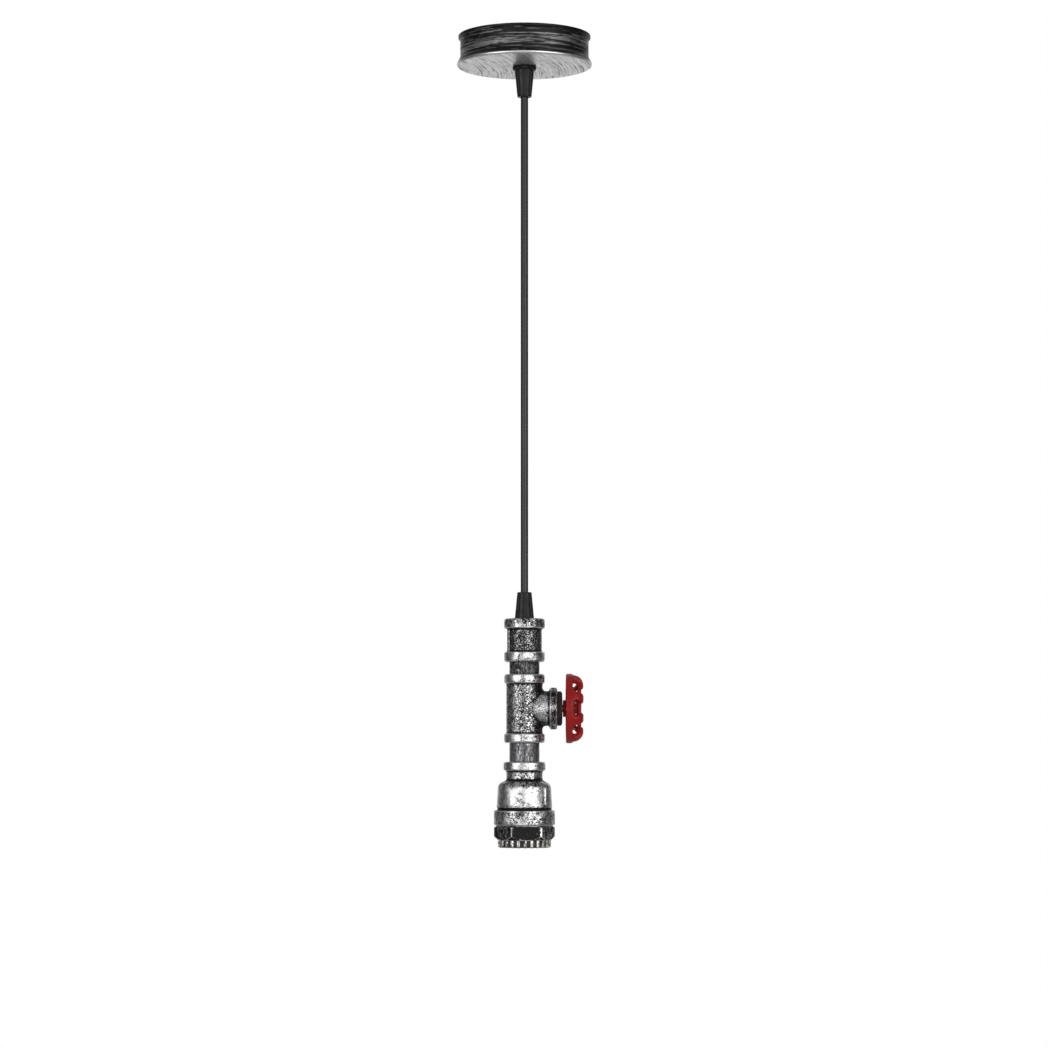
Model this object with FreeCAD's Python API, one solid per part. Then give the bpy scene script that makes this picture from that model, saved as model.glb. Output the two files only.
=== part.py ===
"""Pipe pendant light, in millimetres.

The origin is the centre of the ceiling plane, +Z is up and +X points along the tee's branch,
towards the handwheel. Everything hangs below the origin, so every height is negative.
"""

import FreeCAD
import Part

import math
import os

from FreeCAD import Vector

# Clearances
THREAD_GAP = 0.12
RUNNING_GAP = 0.05
SLIP_GAP = 0.1
BODY_GAP = 0.3

# Ceiling rose
ROSE_RIM_D = 119.6
ROSE_WAIST_IN = 1.8
ROSE_LIP_OUT = 1.3
ROSE_H = 27.5
ROSE_WALL = 1.2
ROSE_RIM_H = 3.6
ROSE_LIP_H = 7.6
ROSE_LIP_ROUND = 1.8

# Ceiling bracket
STRAP_END_GAP = 1.1
STRAP_T = 2.0
STRAP_W = 25.0
ARM_L = 34.0
TAB_W = 14.0
TAB_H = 15.0
SLOT_SPACING = 60.0
SLOT_L = 16.0
SLOT_W = 5.0
SIDE_SCREW_D = 4.0
SIDE_SCREW_L = 7.0
SIDE_SCREW_DROP = 10.5

# Terminal block in the rose
BLOCK_WAYS = 3
BLOCK_PITCH = 9.5
BLOCK_W = 16.0
BLOCK_H = 12.0
BLOCK_Y = 24.0
INSERT_D = 4.6
INSERT_BORE = 3.0
TERMINAL_SCREW_D = 3.0
TERMINAL_SCREW_L = 3.4
EARTH_X = -16.5
EARTH_SCREW_D = 4.0
EARTH_SCREW_L = 7.0
EARTH_TAG_T = 0.8

# Cable, its cores and its two cord grips
CABLE_D = 6.7
CABLE_FREE_L = 447.5
CORE_D = 2.0
CORE_PITCH_R = 1.4
SHEATH_INTO_PIPE = 139.5
GRIP_FLANGE_D = 21.2
GRIP_FLANGE_H = 3.5
GRIP_FLANGE_ROUND = 1.1
GRIP_NOTCHES = 8
GRIP_NOTCH_W = 2.4
GRIP_NOTCH_DEPTH = 1.5
GRIP_CAP_H = 24.5
GRIP_CAP_BASE_D = 17.4
GRIP_CAP_MOUTH_D = 12.8
GRIP_FLUTES = 12
GRIP_FLUTE_D = 2.6
GRIP_FLUTE_DEPTH = 0.5
GRIP_SPIGOT_D = 13.4
GRIP_SPIGOT_H = 10.0
GRIP_THREAD_D = 10.0
GRIP_THREAD_L = 14.0
GRIP_MOUTH_GAP = 0.5
GRIP_MOUTH_DEPTH = 4.2
GRIP_NUT_AF = 14.0
GRIP_NUT_H = 3.0
GRIP_WASHER_D = 15.5
GRIP_WASHER_T = 0.8

# Threaded pipe run
THREAD_D = 26.44
THREAD_L = 14.0
PIPE_OD = 26.9
PIPE_BORE = 21.6
COUPLING_L = 39.0
COUPLING_BODY_D = 31.0
COUPLING_BAND_D = 36.4
COUPLING_BAND_H = 8.8
COUPLING_RIB_W = 2.2
COUPLING_RIB_H = 1.1
COUPLING_RIB_AZIMUTH = -60.0
PLUG_RECESS = 4.5
PLUG_T = 9.0
UPPER_NIPPLE_SHOWS = 10.6
LOWER_NIPPLE_SHOWS = 16.6
TEE_L = 61.5
TEE_BODY_D = 32.4
TEE_BAND_D = 36.2
TEE_BAND_H = 8.0
TEE_CHAMBER_D = 23.6
BRANCH_REACH = 29.3
BRANCH_NECK_D = 31.2
BRANCH_BAND_D = 37.4
BRANCH_BAND_W = 6.4
BRANCH_FILLET = 3.0

# Bell reducer, bushing and lamp ring
BELL_L = 56.6
BELL_NECK_BAND_D = 37.6
BELL_NECK_BAND_H = 7.6
BELL_NECK_D = 32.4
BELL_NECK_L = 16.4
BELL_SHOULDER_D = 47.2
BELL_SHOULDER_FALL = 3.6
BELL_SHOULDER_ROUND = 6.0
BELL_SKIRT_D = 49.7
BELL_LIP_D = 54.5
BELL_LIP_H = 13.4
BELL_GROOVE_H = 1.8
BELL_GROOVE_DEPTH = 0.8
BELL_THREAD_D = 41.9
BELL_THREAD_L = 32.0
BELL_RIB_W = 2.0
BELL_RIB_H = 1.0
BELL_RIB_AZIMUTH = 50.0
BUSHING_AF = 47.6
BUSHING_HEX_H = 13.2
BUSHING_NECK_D = 51.0
BUSHING_NECK_H = 1.2
BUSHING_TURN = 4.5
BUSHING_THREAD_L = 16.0
BUSHING_BORE = 36.6
RING_D = 47.2
RING_H = 6.6
RING_TEETH = 24
RING_GROOVE_W = 3.0
RING_GROOVE_DEPTH = 1.4
RING_GROOVE_AZIMUTH = -6.0

# Lamp holder
SKIRT_D = 36.2
SKIRT_BORE = 31.2
SKIRT_LIFT = 1.6
SKIRT_FLANGE_D = 40.6
SKIRT_FLANGE_T = 2.4
SKIRT_NECK_H = 6.0
HOLDER_CAP_D = 39.2
HOLDER_CAP_H = 17.0
HOLDER_CAP_WALL = 1.4
HOLDER_CAP_ROUND = 7.0
HOLDER_CAP_ENTRY_D = 11.0
INSULATOR_LIP_T = 1.4
INSULATOR_BELOW = 18.0
SHELL_BORE = 26.5
SHELL_WALL = 0.4
SHELL_L = 16.0
SHELL_NECK_D = 23.6
SHELL_NECK_L = 4.0
CONTACT_T = 0.6
CONTACT_W = 5.0
CONTACT_SPRING = 3.0
POST_R = 9.0
POST_SIZE = 5.0
POST_H = 4.0
POST_SCREW_D = 3.0
POST_SCREW_L = 3.2
RIVET_D = 2.4

# Bonnet, spindle and handwheel
BONNET_AF = 27.0
BONNET_HEX_H = 4.6
BONNET_THREAD_L = 12.0
SPINDLE_D = 7.0
SPINDLE_FLANGE_D = 12.0
SPINDLE_FLANGE_T = 2.4
SPINDLE_WASHER_T = 0.6
SPINDLE_SQUARE = 5.0
COLLAR_D = 15.4
COLLAR_L = 6.5
SET_SCREW_D = 3.0
WHEEL_D = 62.2
WHEEL_HOOP_BEHIND = 4.1
WHEEL_HOOP_W = 6.1
WHEEL_HOOP_T = 4.2
WHEEL_FACE_D = 45.0
WHEEL_RIM_W = 4.0
WHEEL_RIM_T = 4.0
WHEEL_DISH_DEPTH = 9.6
WHEEL_WEB_T = 3.0
WHEEL_HUB_D = 10.4
WHEEL_HUB_L = 6.5
WHEEL_BARS = 8
WHEEL_BAR_W = 8.2
WHEEL_BAR_T = 4.8
WHEEL_BAR_PROUD = 1.9
WHEEL_BAR_INNER_R = 19.0
WHEEL_BAR_BEND = 9.2
WHEEL_BAR_ROUND = 1.7
WHEEL_BAR_FLARE = 3.0
WHEEL_BAR_END_ROUND = 2.4
WHEEL_OPENING_W = 10.8
WHEEL_OPENING_ROUND = 1.4
WHEEL_WASHER_D = 11.4
WHEEL_WASHER_T = 0.5
WHEEL_SCREW_D = 4.0
WHEEL_SCREW_L = 8.0
WHEEL_SCREW_HEAD_D = 7.8
WHEEL_SCREW_HEAD_H = 2.4

# Heights that follow from the sizes
rose_face_z = -ROSE_H
rose_floor_z = rose_face_z + ROSE_WALL
grip_h = GRIP_FLANGE_H + GRIP_CAP_H
swing_z = rose_face_z - grip_h
lower_mouth_z = swing_z - CABLE_FREE_L
plug_top_z = lower_mouth_z - grip_h
coupling_top_z = plug_top_z + PLUG_RECESS
coupling_bottom_z = coupling_top_z - COUPLING_L
tee_top_z = coupling_bottom_z - UPPER_NIPPLE_SHOWS
branch_z = tee_top_z - TEE_L / 2
tee_bottom_z = tee_top_z - TEE_L
bell_top_z = tee_bottom_z - LOWER_NIPPLE_SHOWS
bell_bottom_z = bell_top_z - BELL_L
bushing_bottom_z = bell_bottom_z - BUSHING_HEX_H
bushing_top_z = bell_bottom_z + BUSHING_THREAD_L
ring_bottom_z = bushing_bottom_z - RING_H
skirt_bottom_z = ring_bottom_z + SKIRT_LIFT
skirt_flange_z = bushing_top_z + SKIRT_FLANGE_T
insulator_seat_z = skirt_flange_z + SKIRT_NECK_H
insulator_top_z = insulator_seat_z + INSULATOR_LIP_T
shell_top_z = insulator_seat_z - INSULATOR_BELOW
cap_top_z = skirt_flange_z + HOLDER_CAP_H
sheath_end_z = lower_mouth_z - SHEATH_INTO_PIPE

# Radii and places that follow from the sizes
rose_rim_r = ROSE_RIM_D / 2
rose_waist_r = rose_rim_r - ROSE_WAIST_IN
rose_lip_r = rose_rim_r + ROSE_LIP_OUT
strap_end_x = rose_waist_r - ROSE_WALL - STRAP_END_GAP
cable_r = CABLE_D / 2
core_r = CORE_D / 2
thread_r = THREAD_D / 2
male_r = thread_r - THREAD_GAP
grip_male_r = GRIP_THREAD_D / 2
grip_hole_r = grip_male_r + THREAD_GAP
grip_bore_r = cable_r + SLIP_GAP
sheath_top_z = rose_face_z + GRIP_THREAD_L + 1.0
block_l = BLOCK_WAYS * BLOCK_PITCH + 1.5
block_wire_z = -STRAP_T - BLOCK_H * 0.6
spindle_washer_x = BRANCH_REACH - BONNET_THREAD_L - BODY_GAP
collar_x = BRANCH_REACH + BONNET_HEX_H + BODY_GAP
wheel_dish_x = collar_x + COLLAR_L + BODY_GAP
wheel_back_x = wheel_dish_x - WHEEL_HOOP_BEHIND
wheel_face_x = wheel_dish_x + WHEEL_DISH_DEPTH
wheel_rim_x = wheel_face_x - WHEEL_RIM_T
wheel_web_x = wheel_dish_x + WHEEL_WEB_T
wheel_hub_x = wheel_dish_x + WHEEL_HUB_L


def at(x, y, z):
    """A point."""
    return Vector(x, y, z)


def corner_arc(before, corner, after, radius):
    """The start, middle and end of the arc that rounds a corner between two straight runs."""
    back = (before - corner).normalize()
    onward = (after - corner).normalize()
    half = math.acos(max(-1.0, min(1.0, back.dot(onward)))) / 2
    reach = radius / math.tan(half)
    inwards = (back + onward).normalize()
    middle = corner + inwards * (radius / math.sin(half) - radius)
    return corner + back * reach, middle, corner + onward * reach


def rounded_wire(corners, place):
    """A closed wire through (u, v) or (u, v, radius) corners; place turns (u, v) into a point."""
    points = [place(c[0], c[1]) for c in corners]
    starts, arcs, ends = [], [], []
    for i, corner in enumerate(corners):
        if len(corner) < 3 or corner[2] <= 0:
            starts.append(points[i])
            arcs.append(None)
            ends.append(points[i])
            continue
        a, m, b = corner_arc(points[i - 1], points[i], points[(i + 1) % len(points)], corner[2])
        starts.append(a)
        arcs.append(Part.Arc(a, m, b).toShape())
        ends.append(b)
    edges = []
    for i in range(len(points)):
        if arcs[i] is not None:
            edges.append(arcs[i])
        following = starts[(i + 1) % len(points)]
        if ends[i].distanceToPoint(following) > 1e-6:
            edges.append(Part.LineSegment(ends[i], following).toShape())
    return Part.Wire(edges)


def turned(corners):
    """A solid turned about Z from its (radius, height) corners."""
    face = Part.Face(rounded_wire(corners, lambda r, z: at(r, 0, z)))
    return face.revolve(at(0, 0, 0), at(0, 0, 1), 360)


def plate(corners, low_z, thickness):
    """A flat plate from its (x, y) corners, standing on low_z."""
    face = Part.Face(rounded_wire(corners, lambda x, y: at(x, y, low_z)))
    return face.extrude(at(0, 0, thickness))


def disc(radius, low_z, high_z):
    """An upright cylinder on the axis."""
    return Part.makeCylinder(radius, high_z - low_z, at(0, 0, low_z))


def tube(outer_r, inner_r, low_z, high_z):
    """An upright tube on the axis."""
    return disc(outer_r, low_z, high_z).cut(disc(inner_r, low_z - 1, high_z + 1))


def rod(radius, start, end):
    """A cylinder from one point to another."""
    return Part.makeCylinder(radius, (end - start).Length, start, end - start)


def block(size_x, size_y, size_z, centre):
    """A box about its centre."""
    corner = centre - at(size_x / 2, size_y / 2, size_z / 2)
    return Part.makeBox(size_x, size_y, size_z, corner)


def hex_prism(across_flats, low_z, high_z, first_corner=0.0):
    """A hexagonal prism on the axis, with one corner at the angle first_corner from +X."""
    corner_r = across_flats / math.sqrt(3)
    angles = [math.radians(first_corner + 60 * i) for i in range(6)]
    corners = [(corner_r * math.cos(a), corner_r * math.sin(a)) for a in angles]
    return plate(corners, low_z, high_z - low_z)


def spun(shape, count, first=0.0):
    """Copies of a shape at equal steps round Z."""
    return [shape.rotated(at(0, 0, 0), at(0, 0, 1), first + 360 * i / count) for i in range(count)]


def on_branch(shape):
    """Lays a shape that was made upright along the branch: its Z becomes X."""
    return shape.rotated(at(0, 0, 0), at(0, 1, 0), 90).translated(at(0, 0, branch_z))


def azimuth(degrees):
    """The angle from +X of a direction given from the front, -Y, towards +X."""
    return degrees - 90


def run_wire(points, share=0.45):
    """Straight runs joined by tangent arcs, each as large as its two runs allow, and their radii."""
    edges, radii, start = [], [], points[0]
    for before, corner, after in zip(points, points[1:], points[2:]):
        shorter = min((corner - before).Length, (after - corner).Length)
        turn = (corner - before).getAngle(after - corner)
        radius = share * shorter / math.tan(turn / 2)
        a, middle, b = corner_arc(before, corner, after, radius)
        edges.append(Part.LineSegment(start, a).toShape())
        edges.append(Part.Arc(a, middle, b).toShape())
        radii.append(radius)
        start = b
    edges.append(Part.LineSegment(start, points[-1]).toShape())
    return Part.Wire(edges), radii


def strand(name, points, diameter):
    """A round strand along straight runs and arcs. It prints its length and its arcs' radii."""
    path, radii = run_wire(points)
    circle = Part.Circle(points[0], points[1] - points[0], diameter / 2).toShape()
    solid = path.makePipeShell([Part.Wire([circle])], True, False)
    expected = math.pi * diameter**2 / 4 * path.Length
    listed = ", ".join(f"{r:.1f}" for r in radii)
    print(f"{name}: {path.Length:.1f} mm, radii {listed}, volume ratio {solid.Volume / expected:.4f}")
    return solid


def about_axis(radius, angle, z):
    """A point at a radius from the axis, at an angle from +X."""
    return at(radius * math.cos(angle), radius * math.sin(angle), z)


# Ceiling rose


def rose_outline(inset):
    """The rose cover's half section, drawn in by inset."""
    rim_r = rose_rim_r - inset
    waist_r = rose_waist_r - inset
    lip_r = rose_lip_r - inset
    floor_z = rose_face_z + inset
    lip_z = floor_z + ROSE_LIP_ROUND + SLIP_GAP * 3
    return [
        (0, 0),
        (0, floor_z),
        (lip_r, floor_z, max(ROSE_LIP_ROUND - inset / 2, SLIP_GAP)),
        (lip_r, lip_z, ROSE_LIP_ROUND / 3),
        (waist_r, rose_face_z + ROSE_LIP_H, ROSE_LIP_ROUND),
        (waist_r, -ROSE_RIM_H, ROSE_LIP_ROUND),
        (rim_r, -ROSE_RIM_H / 2, ROSE_LIP_ROUND / 3),
        (rim_r, 0),
    ]


def rose_cover():
    """A spun steel cup that hides the wiring, with a hole for the grip and two for the screws."""
    cup = turned(rose_outline(0)).cut(turned(rose_outline(ROSE_WALL)))
    cup = cup.cut(disc(grip_hole_r, rose_face_z - 1, rose_floor_z + 1))
    reach = 2 * rose_lip_r
    hole_r = SIDE_SCREW_D / 2 + 2 * SLIP_GAP
    return cup.cut(rod(hole_r, at(-reach, 0, -SIDE_SCREW_DROP), at(reach, 0, -SIDE_SCREW_DROP)))


def slot_cutter(centre_x):
    """A rounded slot through the strap, along X."""
    half = (SLOT_L - SLOT_W) / 2
    end = disc(SLOT_W / 2, -2 * STRAP_T, STRAP_T)
    ends = [end.translated(at(centre_x + side * half, 0, 0)) for side in (-1, 1)]
    middle = block(2 * half, SLOT_W, 3 * STRAP_T, at(centre_x, 0, -STRAP_T / 2))
    return middle.fuse(ends)


def ceiling_bracket():
    """A strap with two slots, an arm for the terminal block and two bent, tapped tabs."""
    half = STRAP_W / 2
    end = strap_end_x
    outline = [
        (-end, -TAB_W / 2),
        (-end + half, -half),
        (end - half, -half),
        (end, -TAB_W / 2),
        (end, TAB_W / 2),
        (end - half, half),
        (half, half, 3),
        (half, ARM_L, 3),
        (-half, ARM_L, 3),
        (-half, half, 3),
        (-end + half, half),
        (-end, TAB_W / 2),
    ]
    strap = plate(outline, -STRAP_T, STRAP_T)
    for side in (-1, 1):
        tab = block(STRAP_T, TAB_W, TAB_H, at(side * (end - STRAP_T / 2), 0, -TAB_H / 2))
        strap = strap.fuse(tab)
        strap = strap.cut(slot_cutter(side * SLOT_SPACING / 2))
    tapped_r = SIDE_SCREW_D / 2 + THREAD_GAP
    earth_r = EARTH_SCREW_D / 2 + THREAD_GAP
    block_screw_r = TERMINAL_SCREW_D / 2 + THREAD_GAP
    holes = [
        rod(tapped_r, at(-2 * end, 0, -SIDE_SCREW_DROP), at(2 * end, 0, -SIDE_SCREW_DROP)),
        disc(earth_r, -6, 3).translated(at(EARTH_X, 0, 0)),
        disc(block_screw_r, -6, 3).translated(at(BLOCK_PITCH / 2, BLOCK_Y, 0)),
    ]
    return strap.cut(holes).removeSplitter()


def rose_side_screws():
    """Two slotted grub screws through the cover into the tabs, flush with the waist."""
    outer = rose_waist_r
    screws = []
    for side in (-1, 1):
        start = at(side * (outer - SIDE_SCREW_L), 0, -SIDE_SCREW_DROP)
        end = at(side * outer, 0, -SIDE_SCREW_DROP)
        screw = rod(SIDE_SCREW_D / 2, start, end)
        screws.append(screw.cut(block(2.0, SIDE_SCREW_D + 1, 0.8, end)))
    return Part.makeCompound(screws)


def way_places():
    """The X of each way of the terminal block."""
    return [BLOCK_PITCH * (i - (BLOCK_WAYS - 1) / 2) for i in range(BLOCK_WAYS)]


def terminal_screw_places():
    """The X and Y of each terminal screw."""
    return [(x, BLOCK_Y + s * BLOCK_W / 4) for x in way_places() for s in (-1, 1)]


def terminal_block():
    """The plastic body of the terminal block, hung under the bracket's arm."""
    below_z = -STRAP_T - BLOCK_H - 1
    body = block(block_l, BLOCK_W, BLOCK_H, at(0, BLOCK_Y, -STRAP_T - BLOCK_H / 2))
    upright = [e for e in body.Edges if abs(e.tangentAt(e.FirstParameter).z) > 0.9]
    body = body.makeFillet(0.8, upright)
    for x in way_places():
        front = at(x, BLOCK_Y - BLOCK_W, block_wire_z)
        rear = at(x, BLOCK_Y + BLOCK_W, block_wire_z)
        body = body.cut(rod(INSERT_D / 2 + SLIP_GAP, front, rear))
    for x, y in terminal_screw_places():
        well = rod(TERMINAL_SCREW_D / 2 + 2 * SLIP_GAP, at(x, y, below_z), at(x, y, block_wire_z))
        body = body.cut(well)
    middle = BLOCK_PITCH / 2
    fixing = rod(TERMINAL_SCREW_D / 2 + SLIP_GAP, at(middle, BLOCK_Y, below_z), at(middle, BLOCK_Y, 0))
    return body.cut(fixing)


def terminal_inserts():
    """A brass tube in each way, tapped for its two screws."""
    inserts = []
    for x in way_places():
        start = at(x, BLOCK_Y - BLOCK_W * 0.42, block_wire_z)
        end = at(x, BLOCK_Y + BLOCK_W * 0.42, block_wire_z)
        insert = rod(INSERT_D / 2, start, end).cut(rod(INSERT_BORE / 2, start, end))
        for y in (BLOCK_Y - BLOCK_W / 4, BLOCK_Y + BLOCK_W / 4):
            tapped_r = TERMINAL_SCREW_D / 2 + THREAD_GAP
            tapped = rod(tapped_r, at(x, y, block_wire_z - INSERT_D), at(x, y, block_wire_z))
            insert = insert.cut(tapped)
        inserts.append(insert)
    return Part.makeCompound(inserts)


def terminal_screws():
    """The slotted screws that clamp the cores, driven from below."""
    screws = []
    top_z = block_wire_z - core_r - SLIP_GAP
    for x, y in terminal_screw_places():
        low = at(x, y, top_z - TERMINAL_SCREW_L)
        screw = rod(TERMINAL_SCREW_D / 2, low, at(x, y, top_z))
        screws.append(screw.cut(block(TERMINAL_SCREW_D + 1, 0.6, 1.4, low)))
    return Part.makeCompound(screws)


def terminal_block_screw():
    """The screw that holds the block to the bracket's arm."""
    x = BLOCK_PITCH / 2
    head_z = -STRAP_T - BLOCK_H
    shank = rod(TERMINAL_SCREW_D / 2, at(x, BLOCK_Y, head_z), at(x, BLOCK_Y, 0))
    head = rod(TERMINAL_SCREW_D * 0.8, at(x, BLOCK_Y, head_z - 1.6), at(x, BLOCK_Y, head_z))
    slot = block(TERMINAL_SCREW_D * 2, 0.7, 1.4, at(x, BLOCK_Y, head_z - 1.6))
    return shank.fuse(head).cut(slot).removeSplitter()


def earth_tag():
    """A ring tag under the strap, with a barrel that takes the earth link."""
    top = -STRAP_T
    ring = Part.makeCylinder(EARTH_SCREW_D, EARTH_TAG_T, at(EARTH_X, 0, top - EARTH_TAG_T))
    stem = block(2.4, 6.0, EARTH_TAG_T, at(EARTH_X, 5.0, top - EARTH_TAG_T / 2))
    barrel = rod(core_r + 0.7, at(EARTH_X, 7.5, earth_wire_z()), at(EARTH_X, 12.0, earth_wire_z()))
    tag = ring.fuse([stem, barrel])
    wire_z = earth_wire_z()
    tag = tag.cut(rod(core_r + SLIP_GAP, at(EARTH_X, 8.5, wire_z), at(EARTH_X, 13.0, wire_z)))
    tag = tag.cut(Part.makeCylinder(EARTH_SCREW_D / 2 + SLIP_GAP, 4, at(EARTH_X, 0, top - 3)))
    return tag.removeSplitter()


def earth_wire_z():
    """The height of the earth link in its tag."""
    return -STRAP_T - core_r - 0.7


def earth_screw():
    """The pan head screw that bonds the tag to the bracket."""
    head_z = -STRAP_T - EARTH_TAG_T
    shank = rod(EARTH_SCREW_D / 2, at(EARTH_X, 0, head_z), at(EARTH_X, 0, -SLIP_GAP))
    head = rod(EARTH_SCREW_D * 0.9, at(EARTH_X, 0, head_z - 2.4), at(EARTH_X, 0, head_z))
    slot_middle = at(EARTH_X, 0, head_z - 2.4)
    slots = block(5.0, 0.9, 2.4, slot_middle).fuse(block(0.9, 5.0, 2.4, slot_middle))
    return shank.fuse(head).cut(slots).removeSplitter()


def earth_link():
    """The core from the block's earth way round to the bracket's tag."""
    way_x = way_places()[0]
    out_y = BLOCK_Y + BLOCK_W / 2
    side_x = -block_l / 2 - 5
    points = [
        at(way_x, BLOCK_Y + BLOCK_W * 0.2, block_wire_z),
        at(way_x, out_y + 6.5, block_wire_z),
        at(side_x, out_y + 4.5, block_wire_z + 0.8),
        at(side_x, out_y - 10, block_wire_z + 2.6),
        at(EARTH_X, BLOCK_Y - BLOCK_W / 2 + 2, earth_wire_z()),
        at(EARTH_X, 8.7, earth_wire_z()),
    ]
    return strand("earth_link", points, CORE_D)


def rose_core(index):
    """One core from the stripped sheath into its way of the terminal block."""
    angle = math.radians(210 - 120 * index)
    way_x = way_places()[index]
    face_y = BLOCK_Y - BLOCK_W / 2
    over_z = sheath_top_z + 5.4
    points = [
        about_axis(CORE_PITCH_R, angle, sheath_top_z),
        about_axis(CORE_PITCH_R, angle, over_z),
        at(way_x * 0.8, face_y * 0.55, over_z - 0.4),
        at(way_x, face_y - 1.5, block_wire_z),
        at(way_x, BLOCK_Y - BLOCK_W * 0.14, block_wire_z),
    ]
    return strand(f"rose_core {index}", points, CORE_D)


def cable_in_rose():
    """The sheathed cable from the rose down to just above the swing point."""
    return disc(cable_r, swing_z + cable_r + BODY_GAP, sheath_top_z)


# Cord grip, upright on a seat at height 0, mouth upwards


def grip_body():
    """Castellated flange, threaded tail below the seat and a split spigot inside the cap."""
    body = disc(GRIP_FLANGE_D / 2, 0, GRIP_FLANGE_H)
    free_edge = [e for e in body.Edges if e.Closed and abs(e.CenterOfMass.z) > 0.1]
    body = body.makeFillet(GRIP_FLANGE_ROUND, free_edge)
    notch_place = at(GRIP_FLANGE_D / 2, 0, 0)
    notch = block(2 * GRIP_NOTCH_DEPTH, GRIP_NOTCH_W, 3 * GRIP_FLANGE_H, notch_place)
    body = body.cut(spun(notch, GRIP_NOTCHES, 180 / GRIP_NOTCHES))
    tail = turned(
        [
            (0, 0),
            (0, -GRIP_THREAD_L),
            (grip_male_r - 0.6, -GRIP_THREAD_L),
            (grip_male_r, -GRIP_THREAD_L + 0.6),
            (grip_male_r, 0),
        ]
    )
    body = body.fuse([tail, disc(GRIP_SPIGOT_D / 2, GRIP_FLANGE_H, GRIP_FLANGE_H + GRIP_SPIGOT_H)])
    split_z = GRIP_FLANGE_H + GRIP_SPIGOT_H
    split = block(GRIP_SPIGOT_D + 2, 0.8, GRIP_SPIGOT_H, at(0, 0, split_z))
    body = body.cut([split, split.rotated(at(0, 0, 0), at(0, 0, 1), 90)])
    return body.cut(disc(grip_bore_r, -GRIP_THREAD_L - 1, split_z + 1)).removeSplitter()


def grip_cap():
    """The tapered, fluted cap that closes the split spigot on the cable."""
    base_z = GRIP_FLANGE_H
    top_z = grip_h
    base_r = GRIP_CAP_BASE_D / 2
    mouth_r = GRIP_CAP_MOUTH_D / 2
    cap = turned([(0, base_z), (base_r, base_z, 0.4), (mouth_r, top_z, 0.7), (0, top_z)])
    offset = GRIP_FLUTE_D / 2 - GRIP_FLUTE_DEPTH
    low_z = base_z + 1.6
    high_z = top_z - 1.2
    slope = (mouth_r - base_r) / (top_z - base_z)
    low = at(base_r + slope * (low_z - base_z) + offset, 0, low_z)
    high = at(base_r + slope * (high_z - base_z) + offset, 0, high_z)
    cap = cap.cut(spun(rod(GRIP_FLUTE_D / 2, low, high), GRIP_FLUTES, 180 / GRIP_FLUTES))
    cavity_z = base_z + GRIP_SPIGOT_H + 0.6
    cap = cap.cut(disc(GRIP_SPIGOT_D / 2 + THREAD_GAP, base_z - 1, cavity_z))
    cap = cap.cut(disc(grip_bore_r, base_z, top_z + 1))
    mouth = disc(cable_r + GRIP_MOUTH_GAP, top_z - GRIP_MOUTH_DEPTH, top_z + 1)
    return cap.cut(mouth).removeSplitter()


def grip_nut(seat_z):
    """The hexagon locknut on the grip's tail, its upper face at seat_z."""
    nut = hex_prism(GRIP_NUT_AF, seat_z - GRIP_NUT_H, seat_z, 30)
    return nut.cut(disc(grip_hole_r, seat_z - GRIP_NUT_H - 1, seat_z + 1))


def grip_washer(seat_z):
    """A toothed lock washer, its upper face at seat_z."""
    washer = tube(GRIP_WASHER_D / 2, grip_male_r + SLIP_GAP, seat_z - GRIP_WASHER_T, seat_z)
    tooth = block(1.6, 1.0, 3 * GRIP_WASHER_T, at(GRIP_WASHER_D / 2, 0, seat_z))
    return washer.cut(spun(tooth, 16)).removeSplitter()


def on_rose(shape):
    """Turns a grip piece over and seats it under the rose."""
    return shape.rotated(at(0, 0, 0), at(1, 0, 0), 180).translated(at(0, 0, rose_face_z))


def on_plug(shape):
    """Seats a grip piece on the coupling's plug."""
    return shape.translated(at(0, 0, plug_top_z))


# Cable below the upper grip


def cable_drop():
    """The free stretch between the grips, with a round top end that turns about the swing point."""
    straight = disc(cable_r, lower_mouth_z, swing_z)
    return straight.fuse(Part.makeSphere(cable_r, at(0, 0, swing_z))).removeSplitter()


def cable_in_pipe():
    """The sheathed cable from the lower grip's mouth down to where its cores part."""
    return disc(cable_r, sheath_end_z, lower_mouth_z)


def lead_core(index):
    """One core from the sheath's end through the holder's cap to its terminal post."""
    angle = post_angles()[index]
    entry_r = HOLDER_CAP_ENTRY_D / 2 - core_r - 1.4
    wire_z = insulator_top_z + POST_H * 0.55
    inner = POST_R - POST_SIZE / 2
    points = [
        about_axis(CORE_PITCH_R, angle, sheath_end_z),
        about_axis(CORE_PITCH_R, angle, sheath_end_z - 12),
        about_axis(entry_r, angle, cap_top_z + 6),
        about_axis(entry_r, angle, wire_z),
        about_axis(inner + 1.6, angle, wire_z),
    ]
    return strand(f"lead_core {index}", points, CORE_D)


# Threaded pipe run


def top_plug():
    """The threaded disc in the coupling's mouth that the lower grip hangs on."""
    plug = turned(
        [
            (grip_hole_r, plug_top_z),
            (grip_hole_r, plug_top_z - PLUG_T),
            (male_r - 0.8, plug_top_z - PLUG_T),
            (male_r, plug_top_z - PLUG_T + 0.8),
            (male_r, plug_top_z - 0.8),
            (male_r - 0.8, plug_top_z),
        ]
    )
    key = Part.makeCylinder(1.3, 4, at((GRIP_FLANGE_D / 2 + male_r) / 2 + 0.1, 0, plug_top_z - 3))
    return plug.cut(spun(key, 2))


def fitting_bore(top_z, bottom_z):
    """The cutter for a female threaded run, with its two lead-in chamfers."""
    return turned(
        [
            (0, top_z + 1),
            (thread_r + 1, top_z + 1),
            (thread_r + 1, top_z),
            (thread_r, top_z - 1),
            (thread_r, bottom_z + 1),
            (thread_r + 1, bottom_z),
            (thread_r + 1, bottom_z - 1),
            (0, bottom_z - 1),
        ]
    )


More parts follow.
